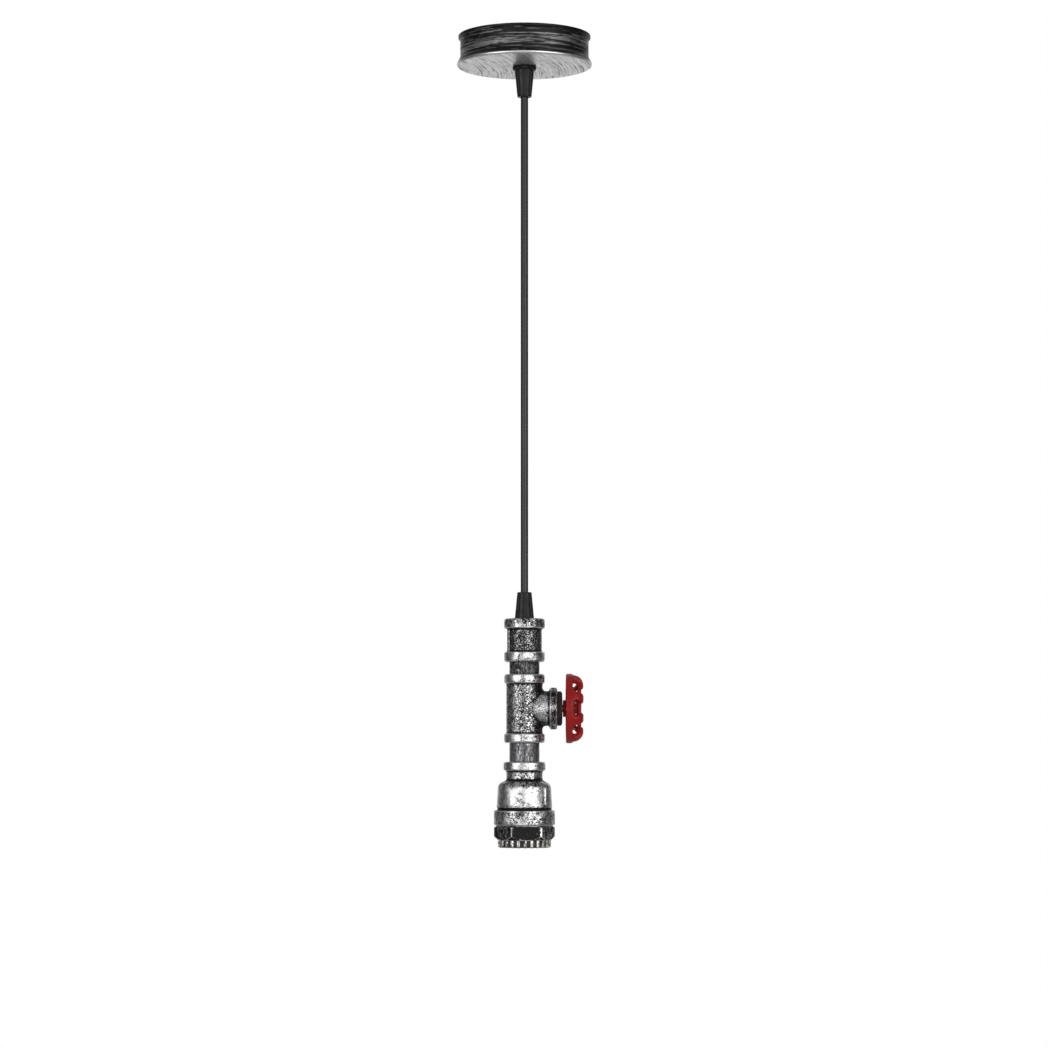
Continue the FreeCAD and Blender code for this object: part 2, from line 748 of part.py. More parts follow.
def rib(body_r, proud, width, low_z, high_z, angle):
    """Two opposite cast ribs on a round body."""
    bar = block(2 * (body_r + proud), width, high_z - low_z, at(0, 0, (low_z + high_z) / 2))
    upright = [e for e in bar.Edges if abs(e.tangentAt(e.FirstParameter).z) > 0.9]
    bar = bar.makeFillet(proud * 0.6, upright)
    return bar.rotated(at(0, 0, 0), at(0, 0, 1), angle)


def pipe_coupling():
    """The banded coupling with its two cast ribs."""
    body_r = COUPLING_BODY_D / 2
    band_r = COUPLING_BAND_D / 2
    top, bottom = coupling_top_z, coupling_bottom_z
    casting = turned(
        [
            (0, top),
            (band_r, top, 2.2),
            (band_r, top - COUPLING_BAND_H, 0.9),
            (body_r, top - COUPLING_BAND_H - 0.6, 1.4),
            (body_r, bottom + COUPLING_BAND_H + 0.6, 1.4),
            (band_r, bottom + COUPLING_BAND_H, 0.9),
            (band_r, bottom, 2.2),
            (0, bottom),
        ]
    )
    angle = azimuth(COUPLING_RIB_AZIMUTH)
    ribs = rib(body_r, COUPLING_RIB_H, COUPLING_RIB_W, bottom + 2, top - 2, angle)
    return casting.fuse(ribs).cut(fitting_bore(top, bottom)).removeSplitter()


def nipple(top_z, bottom_z):
    """A pipe nipple, full size where it shows and threaded at both ends."""
    pipe_r = PIPE_OD / 2
    shows_top = top_z - THREAD_L
    shows_bottom = bottom_z + THREAD_L
    return turned(
        [
            (PIPE_BORE / 2, top_z),
            (male_r - 0.8, top_z),
            (male_r, top_z - 0.8),
            (male_r, shows_top),
            (pipe_r, shows_top),
            (pipe_r, shows_bottom),
            (male_r, shows_bottom),
            (male_r, bottom_z + 0.8),
            (male_r - 0.8, bottom_z),
            (PIPE_BORE / 2, bottom_z),
        ]
    )


def upper_nipple():
    """The nipple between the coupling and the tee."""
    return nipple(coupling_bottom_z + THREAD_L, tee_top_z - THREAD_L)


def lower_nipple():
    """The nipple between the tee and the bell."""
    return nipple(tee_bottom_z + THREAD_L, bell_top_z - THREAD_L)


def edges_on_both(shape, on_first, on_second):
    """The edges whose points lie on both surfaces."""
    found = []
    for edge in shape.Edges:
        points = edge.discretize(9)
        if all(on_first(p) and on_second(p) for p in points):
            found.append(edge)
    return found


def end_band(band_r, body_r, end_z, height, slope, end_round):
    """A raised band at an end of a fitting; height is negative where it runs down from the end."""
    fall = math.copysign(slope, height)
    return turned(
        [
            (0, end_z),
            (band_r, end_z, end_round),
            (band_r, end_z + height, 1.2),
            (body_r, end_z + height + fall),
            (0, end_z + height + fall),
        ]
    )


def pipe_tee():
    """The cast tee: a run with two bands and a branch with one, blended where they meet."""
    body_r = TEE_BODY_D / 2
    neck_r = BRANCH_NECK_D / 2
    band_r = TEE_BAND_D / 2
    run = disc(body_r, tee_bottom_z, tee_top_z)
    neck = on_branch(disc(neck_r, 0, BRANCH_REACH))
    casting = run.fuse(neck)
    seam = edges_on_both(
        casting,
        lambda p: abs(math.hypot(p.x, p.y) - body_r) < 1e-4,
        lambda p: abs(math.hypot(p.y, p.z - branch_z) - neck_r) < 1e-4,
    )
    casting = casting.makeFillet(BRANCH_FILLET, seam)
    bands = [
        end_band(band_r, body_r - 1, tee_top_z, -TEE_BAND_H, 1.2, 1.8),
        end_band(band_r, body_r - 1, tee_bottom_z, TEE_BAND_H, 1.2, 1.8),
        on_branch(end_band(BRANCH_BAND_D / 2, neck_r - 0.5, BRANCH_REACH, -BRANCH_BAND_W, 1.4, 1.6)),
    ]
    casting = casting.fuse(bands)
    bores = [
        fitting_bore(tee_top_z, tee_top_z - THREAD_L - 1.5),
        fitting_bore(tee_bottom_z + THREAD_L + 1.5, tee_bottom_z),
        disc(TEE_CHAMBER_D / 2, tee_bottom_z, tee_top_z),
        on_branch(disc(TEE_CHAMBER_D / 2, 0, BRANCH_REACH)),
        on_branch(disc(thread_r, BRANCH_REACH - THREAD_L, BRANCH_REACH + 1)),
    ]
    return casting.cut(bores).removeSplitter()


def bell_reducer():
    """The reducer that opens from the pipe to the lamp holder, with its two cast ribs."""
    neck_r = BELL_NECK_D / 2
    band_r = BELL_NECK_BAND_D / 2
    lip_r = BELL_LIP_D / 2
    shoulder_z = bell_top_z - BELL_NECK_L
    lip_z = bell_bottom_z + BELL_LIP_H
    casting = turned(
        [
            (0, bell_top_z),
            (band_r, bell_top_z, 1.8),
            (band_r, bell_top_z - BELL_NECK_BAND_H, 1.0),
            (neck_r, bell_top_z - BELL_NECK_BAND_H - 0.8, 1.2),
            (neck_r, shoulder_z, 1.6),
            (BELL_SHOULDER_D / 2, shoulder_z - BELL_SHOULDER_FALL, BELL_SHOULDER_ROUND),
            (BELL_SKIRT_D / 2, lip_z + BELL_GROOVE_H + BELL_GROOVE_DEPTH, 1.0),
            (BELL_SKIRT_D / 2 - BELL_GROOVE_DEPTH, lip_z + BELL_GROOVE_H, 0.4),
            (BELL_SKIRT_D / 2 - BELL_GROOVE_DEPTH, lip_z + 0.2, 0.6),
            (lip_r, lip_z, 1.0),
            (lip_r, bell_bottom_z, 1.2),
            (0, bell_bottom_z),
        ]
    )
    skirt_r = (BELL_SHOULDER_D + BELL_SKIRT_D) / 4
    rib_top = shoulder_z - BELL_SHOULDER_FALL - BELL_SHOULDER_ROUND / 2
    rib_low = bell_bottom_z + 2
    ribs = rib(skirt_r, BELL_RIB_H, BELL_RIB_W, rib_low, rib_top, azimuth(BELL_RIB_AZIMUTH))
    thread_r_low = BELL_THREAD_D / 2
    thread_top_z = bell_bottom_z + BELL_THREAD_L
    cavity = turned(
        [
            (0, bell_top_z + 1),
            (thread_r + 1, bell_top_z + 1),
            (thread_r + 1, bell_top_z),
            (thread_r, bell_top_z - 1),
            (thread_r, shoulder_z),
            (thread_r_low, thread_top_z, 3),
            (thread_r_low, bell_bottom_z + 1),
            (thread_r_low + 1, bell_bottom_z),
            (thread_r_low + 1, bell_bottom_z - 1),
            (0, bell_bottom_z - 1),
        ]
    )
    return casting.fuse(ribs).cut(cavity).removeSplitter()


def hex_bushing():
    """The bushing screwed into the bell, bored for the lamp holder."""
    flat_r = BUSHING_AF / 2
    corner_r = BUSHING_AF / math.sqrt(3)
    hexagon_top_z = bell_bottom_z - BUSHING_NECK_H
    hexagon = hex_prism(BUSHING_AF, bushing_bottom_z, bell_bottom_z, azimuth(BUSHING_TURN) + 30)
    turned_blank = turned(
        [
            (0, bell_bottom_z),
            (BUSHING_NECK_D / 2, bell_bottom_z),
            (BUSHING_NECK_D / 2, hexagon_top_z, 0.4),
            (corner_r - 0.7, hexagon_top_z),
            (corner_r + 0.3, hexagon_top_z - 0.8),
            (corner_r + 0.3, bushing_bottom_z + corner_r + 0.3 - flat_r),
            (flat_r, bushing_bottom_z),
            (0, bushing_bottom_z),
        ]
    )
    bushing = hexagon.common(turned_blank)
    bushing = bushing.fuse(disc(BELL_THREAD_D / 2 - THREAD_GAP, bell_bottom_z, bushing_top_z))
    return bushing.cut(disc(BUSHING_BORE / 2, ring_bottom_z, bushing_top_z + 1)).removeSplitter()


def shade_ring():
    """The toothed ring that clamps the lamp holder in the bushing."""
    outer_r = RING_D / 2
    ring = turned(
        [
            (SKIRT_D / 2 + THREAD_GAP, bushing_bottom_z),
            (SKIRT_D / 2 + THREAD_GAP, ring_bottom_z),
            (outer_r - 1.2, ring_bottom_z, 0.5),
            (outer_r, ring_bottom_z + 1.4, 0.8),
            (outer_r, bushing_bottom_z),
        ]
    )
    groove_place = at(outer_r, 0, bushing_bottom_z)
    groove = block(2 * RING_GROOVE_DEPTH, RING_GROOVE_W, 3 * RING_H, groove_place)
    return ring.cut(spun(groove, RING_TEETH, azimuth(RING_GROOVE_AZIMUTH))).removeSplitter()


# Lamp holder


def holder_skirt():
    """The holder's outer shell: its flange rests on the bushing and its skirt carries the ring."""
    outer_r = SKIRT_D / 2
    inner_r = SKIRT_BORE / 2
    return turned(
        [
            (inner_r, insulator_seat_z),
            (inner_r, skirt_bottom_z),
            (outer_r, skirt_bottom_z, 0.8),
            (outer_r, bushing_top_z),
            (SKIRT_FLANGE_D / 2, bushing_top_z),
            (SKIRT_FLANGE_D / 2, skirt_flange_z),
            (outer_r, skirt_flange_z),
            (outer_r, insulator_seat_z),
        ]
    )


def holder_cap():
    """The metal dome screwed on the holder, with the hole that the cores come through."""
    outer_r = HOLDER_CAP_D / 2
    wall = HOLDER_CAP_WALL
    outer, inner = [
        turned(
            [
                (0, skirt_flange_z),
                (outer_r - inset, skirt_flange_z),
                (outer_r - inset, cap_top_z - inset, HOLDER_CAP_ROUND - inset),
                (0, cap_top_z - inset),
            ]
        )
        for inset in (0, wall)
    ]
    return outer.cut(inner).cut(disc(HOLDER_CAP_ENTRY_D / 2, cap_top_z - 5, cap_top_z + 1))


def post_angles():
    """The angles from +X of the live, neutral and earth posts."""
    return [math.radians(a) for a in (90, 210, 330)]


def post_place(index, radius, z):
    """A point at the angle of one post."""
    return about_axis(radius, post_angles()[index], z)


def holder_insulator():
    """The porcelain block that carries the contacts, seated on the skirt's neck."""
    lip_r = HOLDER_CAP_D / 2 - HOLDER_CAP_WALL - 2 * SLIP_GAP
    stem_r = SKIRT_BORE / 2 - SLIP_GAP
    body = turned(
        [
            (0, insulator_top_z),
            (lip_r, insulator_top_z),
            (lip_r, insulator_seat_z),
            (stem_r, insulator_seat_z),
            (stem_r, shell_top_z),
            (0, shell_top_z),
        ]
    )
    for index in (0, 1):
        low = post_place(index, POST_R, shell_top_z - 1)
        high = post_place(index, POST_R, insulator_top_z + 1)
        body = body.cut(rod(RIVET_D / 2 + SLIP_GAP, low, high))
    return body


def screw_shell():
    """The thin screw shell that takes the lamp, with a neck round the centre contact."""
    inner_r = SHELL_BORE / 2
    neck_r = SHELL_NECK_D / 2
    inner_z = shell_top_z - SHELL_WALL
    shoulder_z = inner_z - SHELL_NECK_L
    shell = turned(
        [
            (POST_R - RIVET_D, shell_top_z),
            (POST_R - RIVET_D, inner_z),
            (neck_r, inner_z),
            (neck_r, shoulder_z),
            (inner_r, shoulder_z),
            (inner_r, shoulder_z - SHELL_L),
            (inner_r + SHELL_WALL, shoulder_z - SHELL_L),
            (inner_r + SHELL_WALL, shoulder_z + SHELL_WALL),
            (neck_r + SHELL_WALL, shoulder_z + SHELL_WALL),
            (neck_r + SHELL_WALL, shell_top_z),
        ]
    )
    hole_low = post_place(1, POST_R, inner_z - 1)
    hole_high = post_place(1, POST_R, shell_top_z + 1)
    rivet_hole = rod(RIVET_D / 2 + SLIP_GAP, hole_low, hole_high)
    return shell.cut([live_relief(), rivet_hole])


def live_relief():
    """The cut in the shell's closed end that keeps it clear of the live contact."""
    relief = block(CONTACT_W + 3, SHELL_BORE / 2, 3 * SHELL_WALL, at(0, SHELL_BORE / 4 + 3, shell_top_z))
    return relief.common(disc(SHELL_NECK_D / 2 - 0.2, shell_top_z - 2, shell_top_z + 2))


def centre_contact():
    """The bent brass tongue that touches the lamp's tip, riveted at the live post's angle."""
    foot_end = POST_R + RIVET_D * 0.65
    rise = CONTACT_T
    tongue = [
        (foot_end, 0),
        (foot_end, -rise),
        (4.0, -rise),
        (1.0, -CONTACT_SPRING - rise),
        (-3.2, -CONTACT_SPRING - rise),
        (-3.2, -CONTACT_SPRING),
        (0.6, -CONTACT_SPRING),
        (3.6, 0),
    ]
    face = Part.Face(rounded_wire(tongue, lambda y, z: at(-CONTACT_W / 2, y, shell_top_z + z)))
    strip = face.extrude(at(CONTACT_W, 0, 0))
    hole_low = post_place(0, POST_R, shell_top_z - 3)
    hole_high = post_place(0, POST_R, shell_top_z + 1)
    return strip.cut(rod(RIVET_D / 2 + SLIP_GAP, hole_low, hole_high))


def holder_terminals():
    """Three brass posts on the insulator, each with a wire hole facing the cores."""
    posts = []
    for index, angle in enumerate(post_angles()):
        post = block(POST_SIZE, POST_SIZE, POST_H, at(POST_R, 0, insulator_top_z + POST_H / 2))
        wire_z = insulator_top_z + POST_H * 0.55
        post = post.cut(rod(core_r + SLIP_GAP, at(0, 0, wire_z), at(POST_R, 0, wire_z)))
        tap_low = at(POST_R + 1, 0, insulator_top_z + 0.8)
        tap_high = at(POST_R + 1, 0, insulator_top_z + POST_H + 1)
        post = post.cut(rod(POST_SCREW_D / 2 + THREAD_GAP, tap_low, tap_high))
        posts.append(post.rotated(at(0, 0, 0), at(0, 0, 1), math.degrees(angle)))
    return Part.makeCompound(posts)


def holder_terminal_screws():
    """The screws that clamp the cores in the posts."""
    screws = []
    for index in range(3):
        low = post_place(index, POST_R + 1, insulator_top_z + 1.0)
        high = low + at(0, 0, POST_SCREW_L)
        screw = rod(POST_SCREW_D / 2, low, high)
        screws.append(screw.cut(block(POST_SCREW_D + 1, 0.6, 1.0, high)))
    return Part.makeCompound(screws)


def contact_rivets():
    """The live and neutral rivets from the posts through the insulator to their contacts."""
    rivets = []
    for index, under in ((0, CONTACT_T), (1, SHELL_WALL)):
        low = post_place(index, POST_R, shell_top_z - under)
        rivet = rod(RIVET_D / 2, low, post_place(index, POST_R, insulator_top_z))
        head = rod(RIVET_D * 0.8, low - at(0, 0, 0.7), low)
        rivets.append(rivet.fuse(head).removeSplitter())
    return Part.makeCompound(rivets)


# Bonnet, spindle and handwheel, upright on the branch axis before they are laid along it


def branch_bonnet():
    """The hexagon bonnet screwed into the branch, bored for the spindle."""
    corner_r = BONNET_AF / math.sqrt(3)
    outer = BRANCH_REACH + BONNET_HEX_H
    hexagon = hex_prism(BONNET_AF, BRANCH_REACH, outer)
    blank = turned(
        [
            (0, BRANCH_REACH),
            (corner_r + 0.1, BRANCH_REACH),
            (corner_r + 0.1, outer - 1.3),
            (corner_r - 2.2, outer),
            (0, outer),
        ]
    )
    bonnet = hexagon.common(blank)
    bonnet = bonnet.fuse(disc(male_r, BRANCH_REACH - BONNET_THREAD_L, BRANCH_REACH))
    bonnet = bonnet.cut(disc(SPINDLE_D / 2 + RUNNING_GAP, 0, outer + 1))
    return on_branch(bonnet.removeSplitter())


def valve_spindle():
    """The spindle: an inner flange, a running length, and a square end for the wheel."""
    spindle_r = SPINDLE_D / 2
    flange_top = spindle_washer_x - SPINDLE_WASHER_T
    square_end = wheel_hub_x - SLIP_GAP
    spindle = disc(spindle_r, flange_top - SPINDLE_FLANGE_T, wheel_dish_x)
    spindle = spindle.fuse(disc(SPINDLE_FLANGE_D / 2, flange_top - SPINDLE_FLANGE_T, flange_top))
    middle = at(0, 0, (wheel_dish_x + square_end) / 2)
    square = block(SPINDLE_SQUARE, SPINDLE_SQUARE, square_end - wheel_dish_x, middle)
    spindle = spindle.fuse(square.common(disc(spindle_r, wheel_dish_x, square_end)))
    tapped = disc(WHEEL_SCREW_D / 2 + THREAD_GAP, square_end - WHEEL_SCREW_L, square_end + 1)
    return on_branch(spindle.cut(tapped).removeSplitter())


def spindle_washer():
    """The fibre washer between the spindle's flange and the bonnet."""
    low = spindle_washer_x - SPINDLE_WASHER_T
    return on_branch(tube(SPINDLE_FLANGE_D / 2, SPINDLE_D / 2 + SLIP_GAP, low, spindle_washer_x))


def collar_screw_place():
    """The distance of the collar's set screw along the branch."""
    return collar_x + COLLAR_L * 0.65


def spindle_collar():
    """The collar that keeps the spindle in, held by a set screw."""
    far_x = collar_x + COLLAR_L
    outer_r = COLLAR_D / 2
    collar = turned([(0, collar_x), (outer_r, collar_x, 0.8), (outer_r, far_x, 0.8), (0, far_x)])
    collar = collar.cut(disc(SPINDLE_D / 2 + SLIP_GAP, collar_x - 1, collar_x + COLLAR_L + 1))
    place = collar_screw_place()
    tapped = rod(SET_SCREW_D / 2 + THREAD_GAP, at(0, 0, place), at(0, COLLAR_D, place))
    return on_branch(collar.cut(tapped))


def collar_set_screw():
    """The grub screw that holds the collar on the spindle."""
    place = collar_screw_place()
    low = SPINDLE_D / 2 + SLIP_GAP
    high = COLLAR_D / 2 - 0.4
    screw = rod(SET_SCREW_D / 2, at(0, low, place), at(0, high, place))
    return on_branch(screw.cut(block(0.6, 1.4, SET_SCREW_D + 1, at(0, high, place))))


def wheel_bar():
    """One arched bar of the handwheel, flared where it leaves the hoop, that leads over to the face."""
    hoop_r = WHEEL_D / 2
    crest = wheel_face_x + WHEEL_BAR_PROUD
    back = wheel_back_x + WHEEL_HOOP_W / 2
    front = wheel_back_x + WHEEL_HOOP_W
    inner_r = hoop_r - WHEEL_BAR_T
    profile = [
        (hoop_r, back),
        (hoop_r, crest, WHEEL_BAR_BEND),
        (WHEEL_BAR_INNER_R, crest, WHEEL_BAR_END_ROUND),
        (WHEEL_BAR_INNER_R, wheel_face_x - 1),
        (WHEEL_FACE_D / 2 - 1.5, crest - WHEEL_BAR_T),
        (inner_r, crest - WHEEL_BAR_T, WHEEL_BAR_BEND - WHEEL_BAR_T),
        (inner_r, back),
    ]
    face = Part.Face(rounded_wire(profile, lambda r, x: at(r, 0, x)))
    arch = face.revolve(at(0, 0, 0), at(0, 0, 1), 40).rotated(at(0, 0, 0), at(0, 0, 1), -20)
    half = WHEEL_BAR_W / 2
    foot = half + WHEEL_BAR_FLARE + 0.3
    plan = [
        (-foot, back),
        (-foot, front),
        (-half, front, WHEEL_BAR_FLARE),
        (-half, crest + 1),
        (half, crest + 1),
        (half, front, WHEEL_BAR_FLARE),
        (foot, front),
        (foot, back),
    ]
    outline = Part.Face(rounded_wire(plan, lambda y, x: at(0, y, x)))
    bar = arch.common(outline.extrude(at(hoop_r + 1, 0, 0)))
    outer = [e for e in bar.Edges if outer_bar_edge(e, hoop_r, crest)]
    return bar.makeFillet(WHEEL_BAR_ROUND, outer)


def outer_bar_edge(edge, hoop_r, crest):
    """Whether an edge of a bar runs along its outer face."""
    first, last = edge.ParameterRange
    if abs(edge.tangentAt((first + last) / 2).y) > 0.9:
        return False
    middle = edge.valueAt((first + last) / 2)
    radius = math.hypot(middle.x, middle.y)
    bend_x = crest - WHEEL_BAR_BEND
    bend_r = hoop_r - WHEEL_BAR_BEND
    end_x = crest - WHEEL_BAR_END_ROUND
    end_r = WHEEL_BAR_INNER_R + WHEEL_BAR_END_ROUND
    on_hoop = abs(radius - hoop_r) < 1e-3 and middle.z <= bend_x
    on_crest = abs(middle.z - crest) < 1e-3
    on_bend = abs(math.hypot(radius - bend_r, middle.z - bend_x) - WHEEL_BAR_BEND) < 1e-3
    on_end = abs(math.hypot(radius - end_r, middle.z - end_x) - WHEEL_BAR_END_ROUND) < 1e-3
    on_bend = on_bend and middle.z >= bend_x
    on_end = on_end and middle.z >= end_x
    return on_hoop or on_crest or on_bend or on_end


def wheel_dish():
    """The handwheel's face: a flat rim on a cone that leads back to the web and its hub."""
    face_r = WHEEL_FACE_D / 2
    rim_r = face_r - WHEEL_RIM_W
    back_r = face_r - (wheel_rim_x - wheel_dish_x)
    cone_x = wheel_rim_x + WHEEL_WEB_T * 0.4
    return turned(
        [
            (0, wheel_dish_x),
            (back_r, wheel_dish_x, 2.0),
            (face_r, wheel_rim_x, 0.8),
            (face_r, wheel_face_x, 1.0),
            (rim_r, wheel_face_x, 0.8),
            (rim_r, cone_x, 0.8),
            (rim_r - (cone_x - wheel_web_x), wheel_web_x, 1.5),
            (WHEEL_HUB_D / 2, wheel_web_x, 1.0),
            (WHEEL_HUB_D / 2, wheel_hub_x, 0.6),
            (0, wheel_hub_x),
        ]
    )


def wheel_opening():
    """The cutter for one opening through the cone, between two bars."""
    half = WHEEL_OPENING_W / 2
    high_x = wheel_rim_x + 0.6
    outline = [
        (-half, wheel_web_x, WHEEL_OPENING_ROUND),
        (half, wheel_web_x, WHEEL_OPENING_ROUND),
        (half, high_x, WHEEL_OPENING_ROUND),
        (-half, high_x, WHEEL_OPENING_ROUND),
    ]
    face = Part.Face(rounded_wire(outline, lambda y, x: at(WHEEL_FACE_D / 4, y, x)))
    return face.extrude(at(WHEEL_FACE_D / 4 + 1, 0, 0))


def handwheel():
    """The cast handwheel: a hoop, a dished face with openings, and arched bars from one to the other."""
    hoop_r = WHEEL_D / 2
    hoop = turned(
        [
            (hoop_r - WHEEL_HOOP_T, wheel_back_x, 1.0),
            (hoop_r, wheel_back_x, 1.2),
            (hoop_r, wheel_back_x + WHEEL_HOOP_W, 0.8),
            (hoop_r - WHEEL_HOOP_T, wheel_back_x + WHEEL_HOOP_W, 1.0),
        ]
    )
    dish = wheel_dish().cut(spun(wheel_opening(), WHEEL_BARS))
    wheel = hoop.fuse([dish] + spun(wheel_bar(), WHEEL_BARS, 180 / WHEEL_BARS))
    square = SPINDLE_SQUARE + 2 * SLIP_GAP
    wheel = wheel.cut(block(square, square, 4 * WHEEL_HUB_L, at(0, 0, wheel_hub_x)))
    return on_branch(wheel.removeSplitter())


def wheel_washer():
    """The flat washer on the wheel's hub."""
    bore_r = WHEEL_SCREW_D / 2 + SLIP_GAP
    return on_branch(tube(WHEEL_WASHER_D / 2, bore_r, wheel_hub_x, wheel_hub_x + WHEEL_WASHER_T))


def wheel_screw():
    """The screw that holds the wheel on the spindle."""
    seat = wheel_hub_x + WHEEL_WASHER_T
    shank = disc(WHEEL_SCREW_D / 2, seat - WHEEL_SCREW_L, seat)
    head = disc(WHEEL_SCREW_HEAD_D / 2, seat, seat + WHEEL_SCREW_HEAD_H)
    crown = [e for e in head.Edges if e.Closed and e.CenterOfMass.z > seat + 1]
    head = head.makeFillet(WHEEL_SCREW_HEAD_H * 0.6, crown)
    top = at(0, 0, seat + WHEEL_SCREW_HEAD_H)
    slot = block(WHEEL_SCREW_HEAD_D + 1, 1.0, WHEEL_SCREW_HEAD_H, top)
    return on_branch(shank.fuse(head).cut(slot).removeSplitter())


def build():
    """Every sub-part by its name."""
    plug_seat_z = -PLUG_T
    rose_seat_z = -ROSE_WALL
    return {
        "ceiling_bracket": ceiling_bracket(),
        "rose_cover": rose_cover(),
        "rose_side_screws": rose_side_screws(),
        "terminal_block": terminal_block(),
        "terminal_inserts": terminal_inserts(),
        "terminal_screws": terminal_screws(),
        "terminal_block_screw": terminal_block_screw(),
        "earth_tag": earth_tag(),
        "earth_screw": earth_screw(),
        "earth_link": earth_link(),
        "upper_grip_body": on_rose(grip_body()),
        "upper_grip_cap": on_rose(grip_cap()),
        "upper_grip_washer": on_rose(grip_washer(rose_seat_z)),
        "upper_grip_nut": on_rose(grip_nut(rose_seat_z - GRIP_WASHER_T)),
        "cable_in_rose": cable_in_rose(),
        "rose_core_earth": rose_core(0),
        "rose_core_neutral": rose_core(1),
        "rose_core_live": rose_core(2),
        "cable_drop": cable_drop(),
        "lower_grip_body": on_plug(grip_body()),
        "lower_grip_cap": on_plug(grip_cap()),
        "lower_grip_washer": on_plug(grip_washer(plug_seat_z)),
        "lower_grip_nut": on_plug(grip_nut(plug_seat_z - GRIP_WASHER_T)),
        "cable_in_pipe": cable_in_pipe(),
        "top_plug": top_plug(),
        "pipe_coupling": pipe_coupling(),
        "upper_nipple": upper_nipple(),
        "pipe_tee": pipe_tee(),
        "branch_bonnet": branch_bonnet(),
        "lower_nipple": lower_nipple(),
        "bell_reducer": bell_reducer(),
        "hex_bushing": hex_bushing(),
        "shade_ring": shade_ring(),
        "holder_skirt": holder_skirt(),
        "holder_cap": holder_cap(),
        "holder_insulator": holder_insulator(),
        "screw_shell": screw_shell(),
        "centre_contact": centre_contact(),
        "holder_terminals": holder_terminals(),
        "holder_terminal_screws": holder_terminal_screws(),
        "contact_rivets": contact_rivets(),
        "core_live": lead_core(0),
        "core_neutral": lead_core(1),
        "core_earth": lead_core(2),
        "valve_spindle": valve_spindle(),
        "spindle_washer": spindle_washer(),
        "spindle_collar": spindle_collar(),
        "collar_set_screw": collar_set_screw(),
        "handwheel": handwheel(),
        "wheel_washer": wheel_washer(),
        "wheel_screw": wheel_screw(),
    }


def main():
    """Writes each sub-part as one STEP file."""
    os.makedirs("parts", exist_ok=True)
    for name, shape in build().items():
        shape.exportStep(f"parts/{name}.step")
        print(f"{name}: {len(shape.Solids)} solids, {shape.Volume:.1f} mm3, valid {shape.isValid()}")


if __name__ == "__main__":
    main()
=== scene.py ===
"""Looks of a pipe pendant light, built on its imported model.

Metres. The ceiling plane is z = 0, +Z is up and the handwheel stands towards +X.
"""

import logging
import math
import sys
from dataclasses import dataclass
from enum import Enum
from functools import cache

import bmesh
import bpy
import numpy as np
from mathutils import Matrix, Vector


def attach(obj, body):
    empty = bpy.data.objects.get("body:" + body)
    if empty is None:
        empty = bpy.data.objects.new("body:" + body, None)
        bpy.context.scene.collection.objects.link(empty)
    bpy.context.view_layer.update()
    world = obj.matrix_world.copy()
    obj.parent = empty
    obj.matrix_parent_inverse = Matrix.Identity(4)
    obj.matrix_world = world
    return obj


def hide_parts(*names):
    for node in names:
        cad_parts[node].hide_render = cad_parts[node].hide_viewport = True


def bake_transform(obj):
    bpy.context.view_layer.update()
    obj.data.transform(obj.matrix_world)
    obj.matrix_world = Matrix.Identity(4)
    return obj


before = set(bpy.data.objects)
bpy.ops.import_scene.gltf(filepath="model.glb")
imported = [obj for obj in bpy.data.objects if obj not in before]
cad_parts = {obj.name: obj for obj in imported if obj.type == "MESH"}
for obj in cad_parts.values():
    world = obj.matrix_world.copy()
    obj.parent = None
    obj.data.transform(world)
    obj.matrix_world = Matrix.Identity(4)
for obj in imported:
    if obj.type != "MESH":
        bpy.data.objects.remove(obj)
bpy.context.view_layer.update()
LOG = logging.getLogger("pipe_pendant")
MM = 0.001
MERGE_DISTANCE = 2e-6
CRISP_ANGLE = 32.0
FACE_WEIGHT = 80
Colour = tuple[float, float, float, float]
Pair = tuple[float, float]
Triple = tuple[float, float, float]
Node = bpy.types.Node
Socket = bpy.types.NodeSocket
Tree = bpy.types.NodeTree
Mesh = bpy.types.Mesh
Piece = bpy.types.Object
Material = bpy.types.Material


class Body(Enum):
    """The rigid bodies of the light."""

    ROOT = "root"
    PENDANT = "pendant"
    WHEEL = "valve_wheel"


class Slot(Enum):
    """The finishes that the record names."""

    ROSE_PAINT = "rose_paint"
    CAST_PEWTER = "cast_pewter"
    NIPPLE_PEWTER = "nipple_pewter"
    RING_PEWTER = "ring_pewter"
    RED_PAINT = "red_paint"
    GRIP_BLACK = "grip_black"
    CABLE_BLACK = "cable_black"
    ZINC_STEEL = "zinc_steel"
    BRASS = "brass"
    BLOCK_NYLON = "block_nylon"
    CORE_BROWN = "core_brown"
    CORE_BLUE = "core_blue"
    CORE_GREEN = "core_green"
    PHENOLIC = "phenolic"
    PORCELAIN = "porcelain"
    SHELL_BRASS = "shell_brass"
    FIBRE = "fibre"


# Node trees


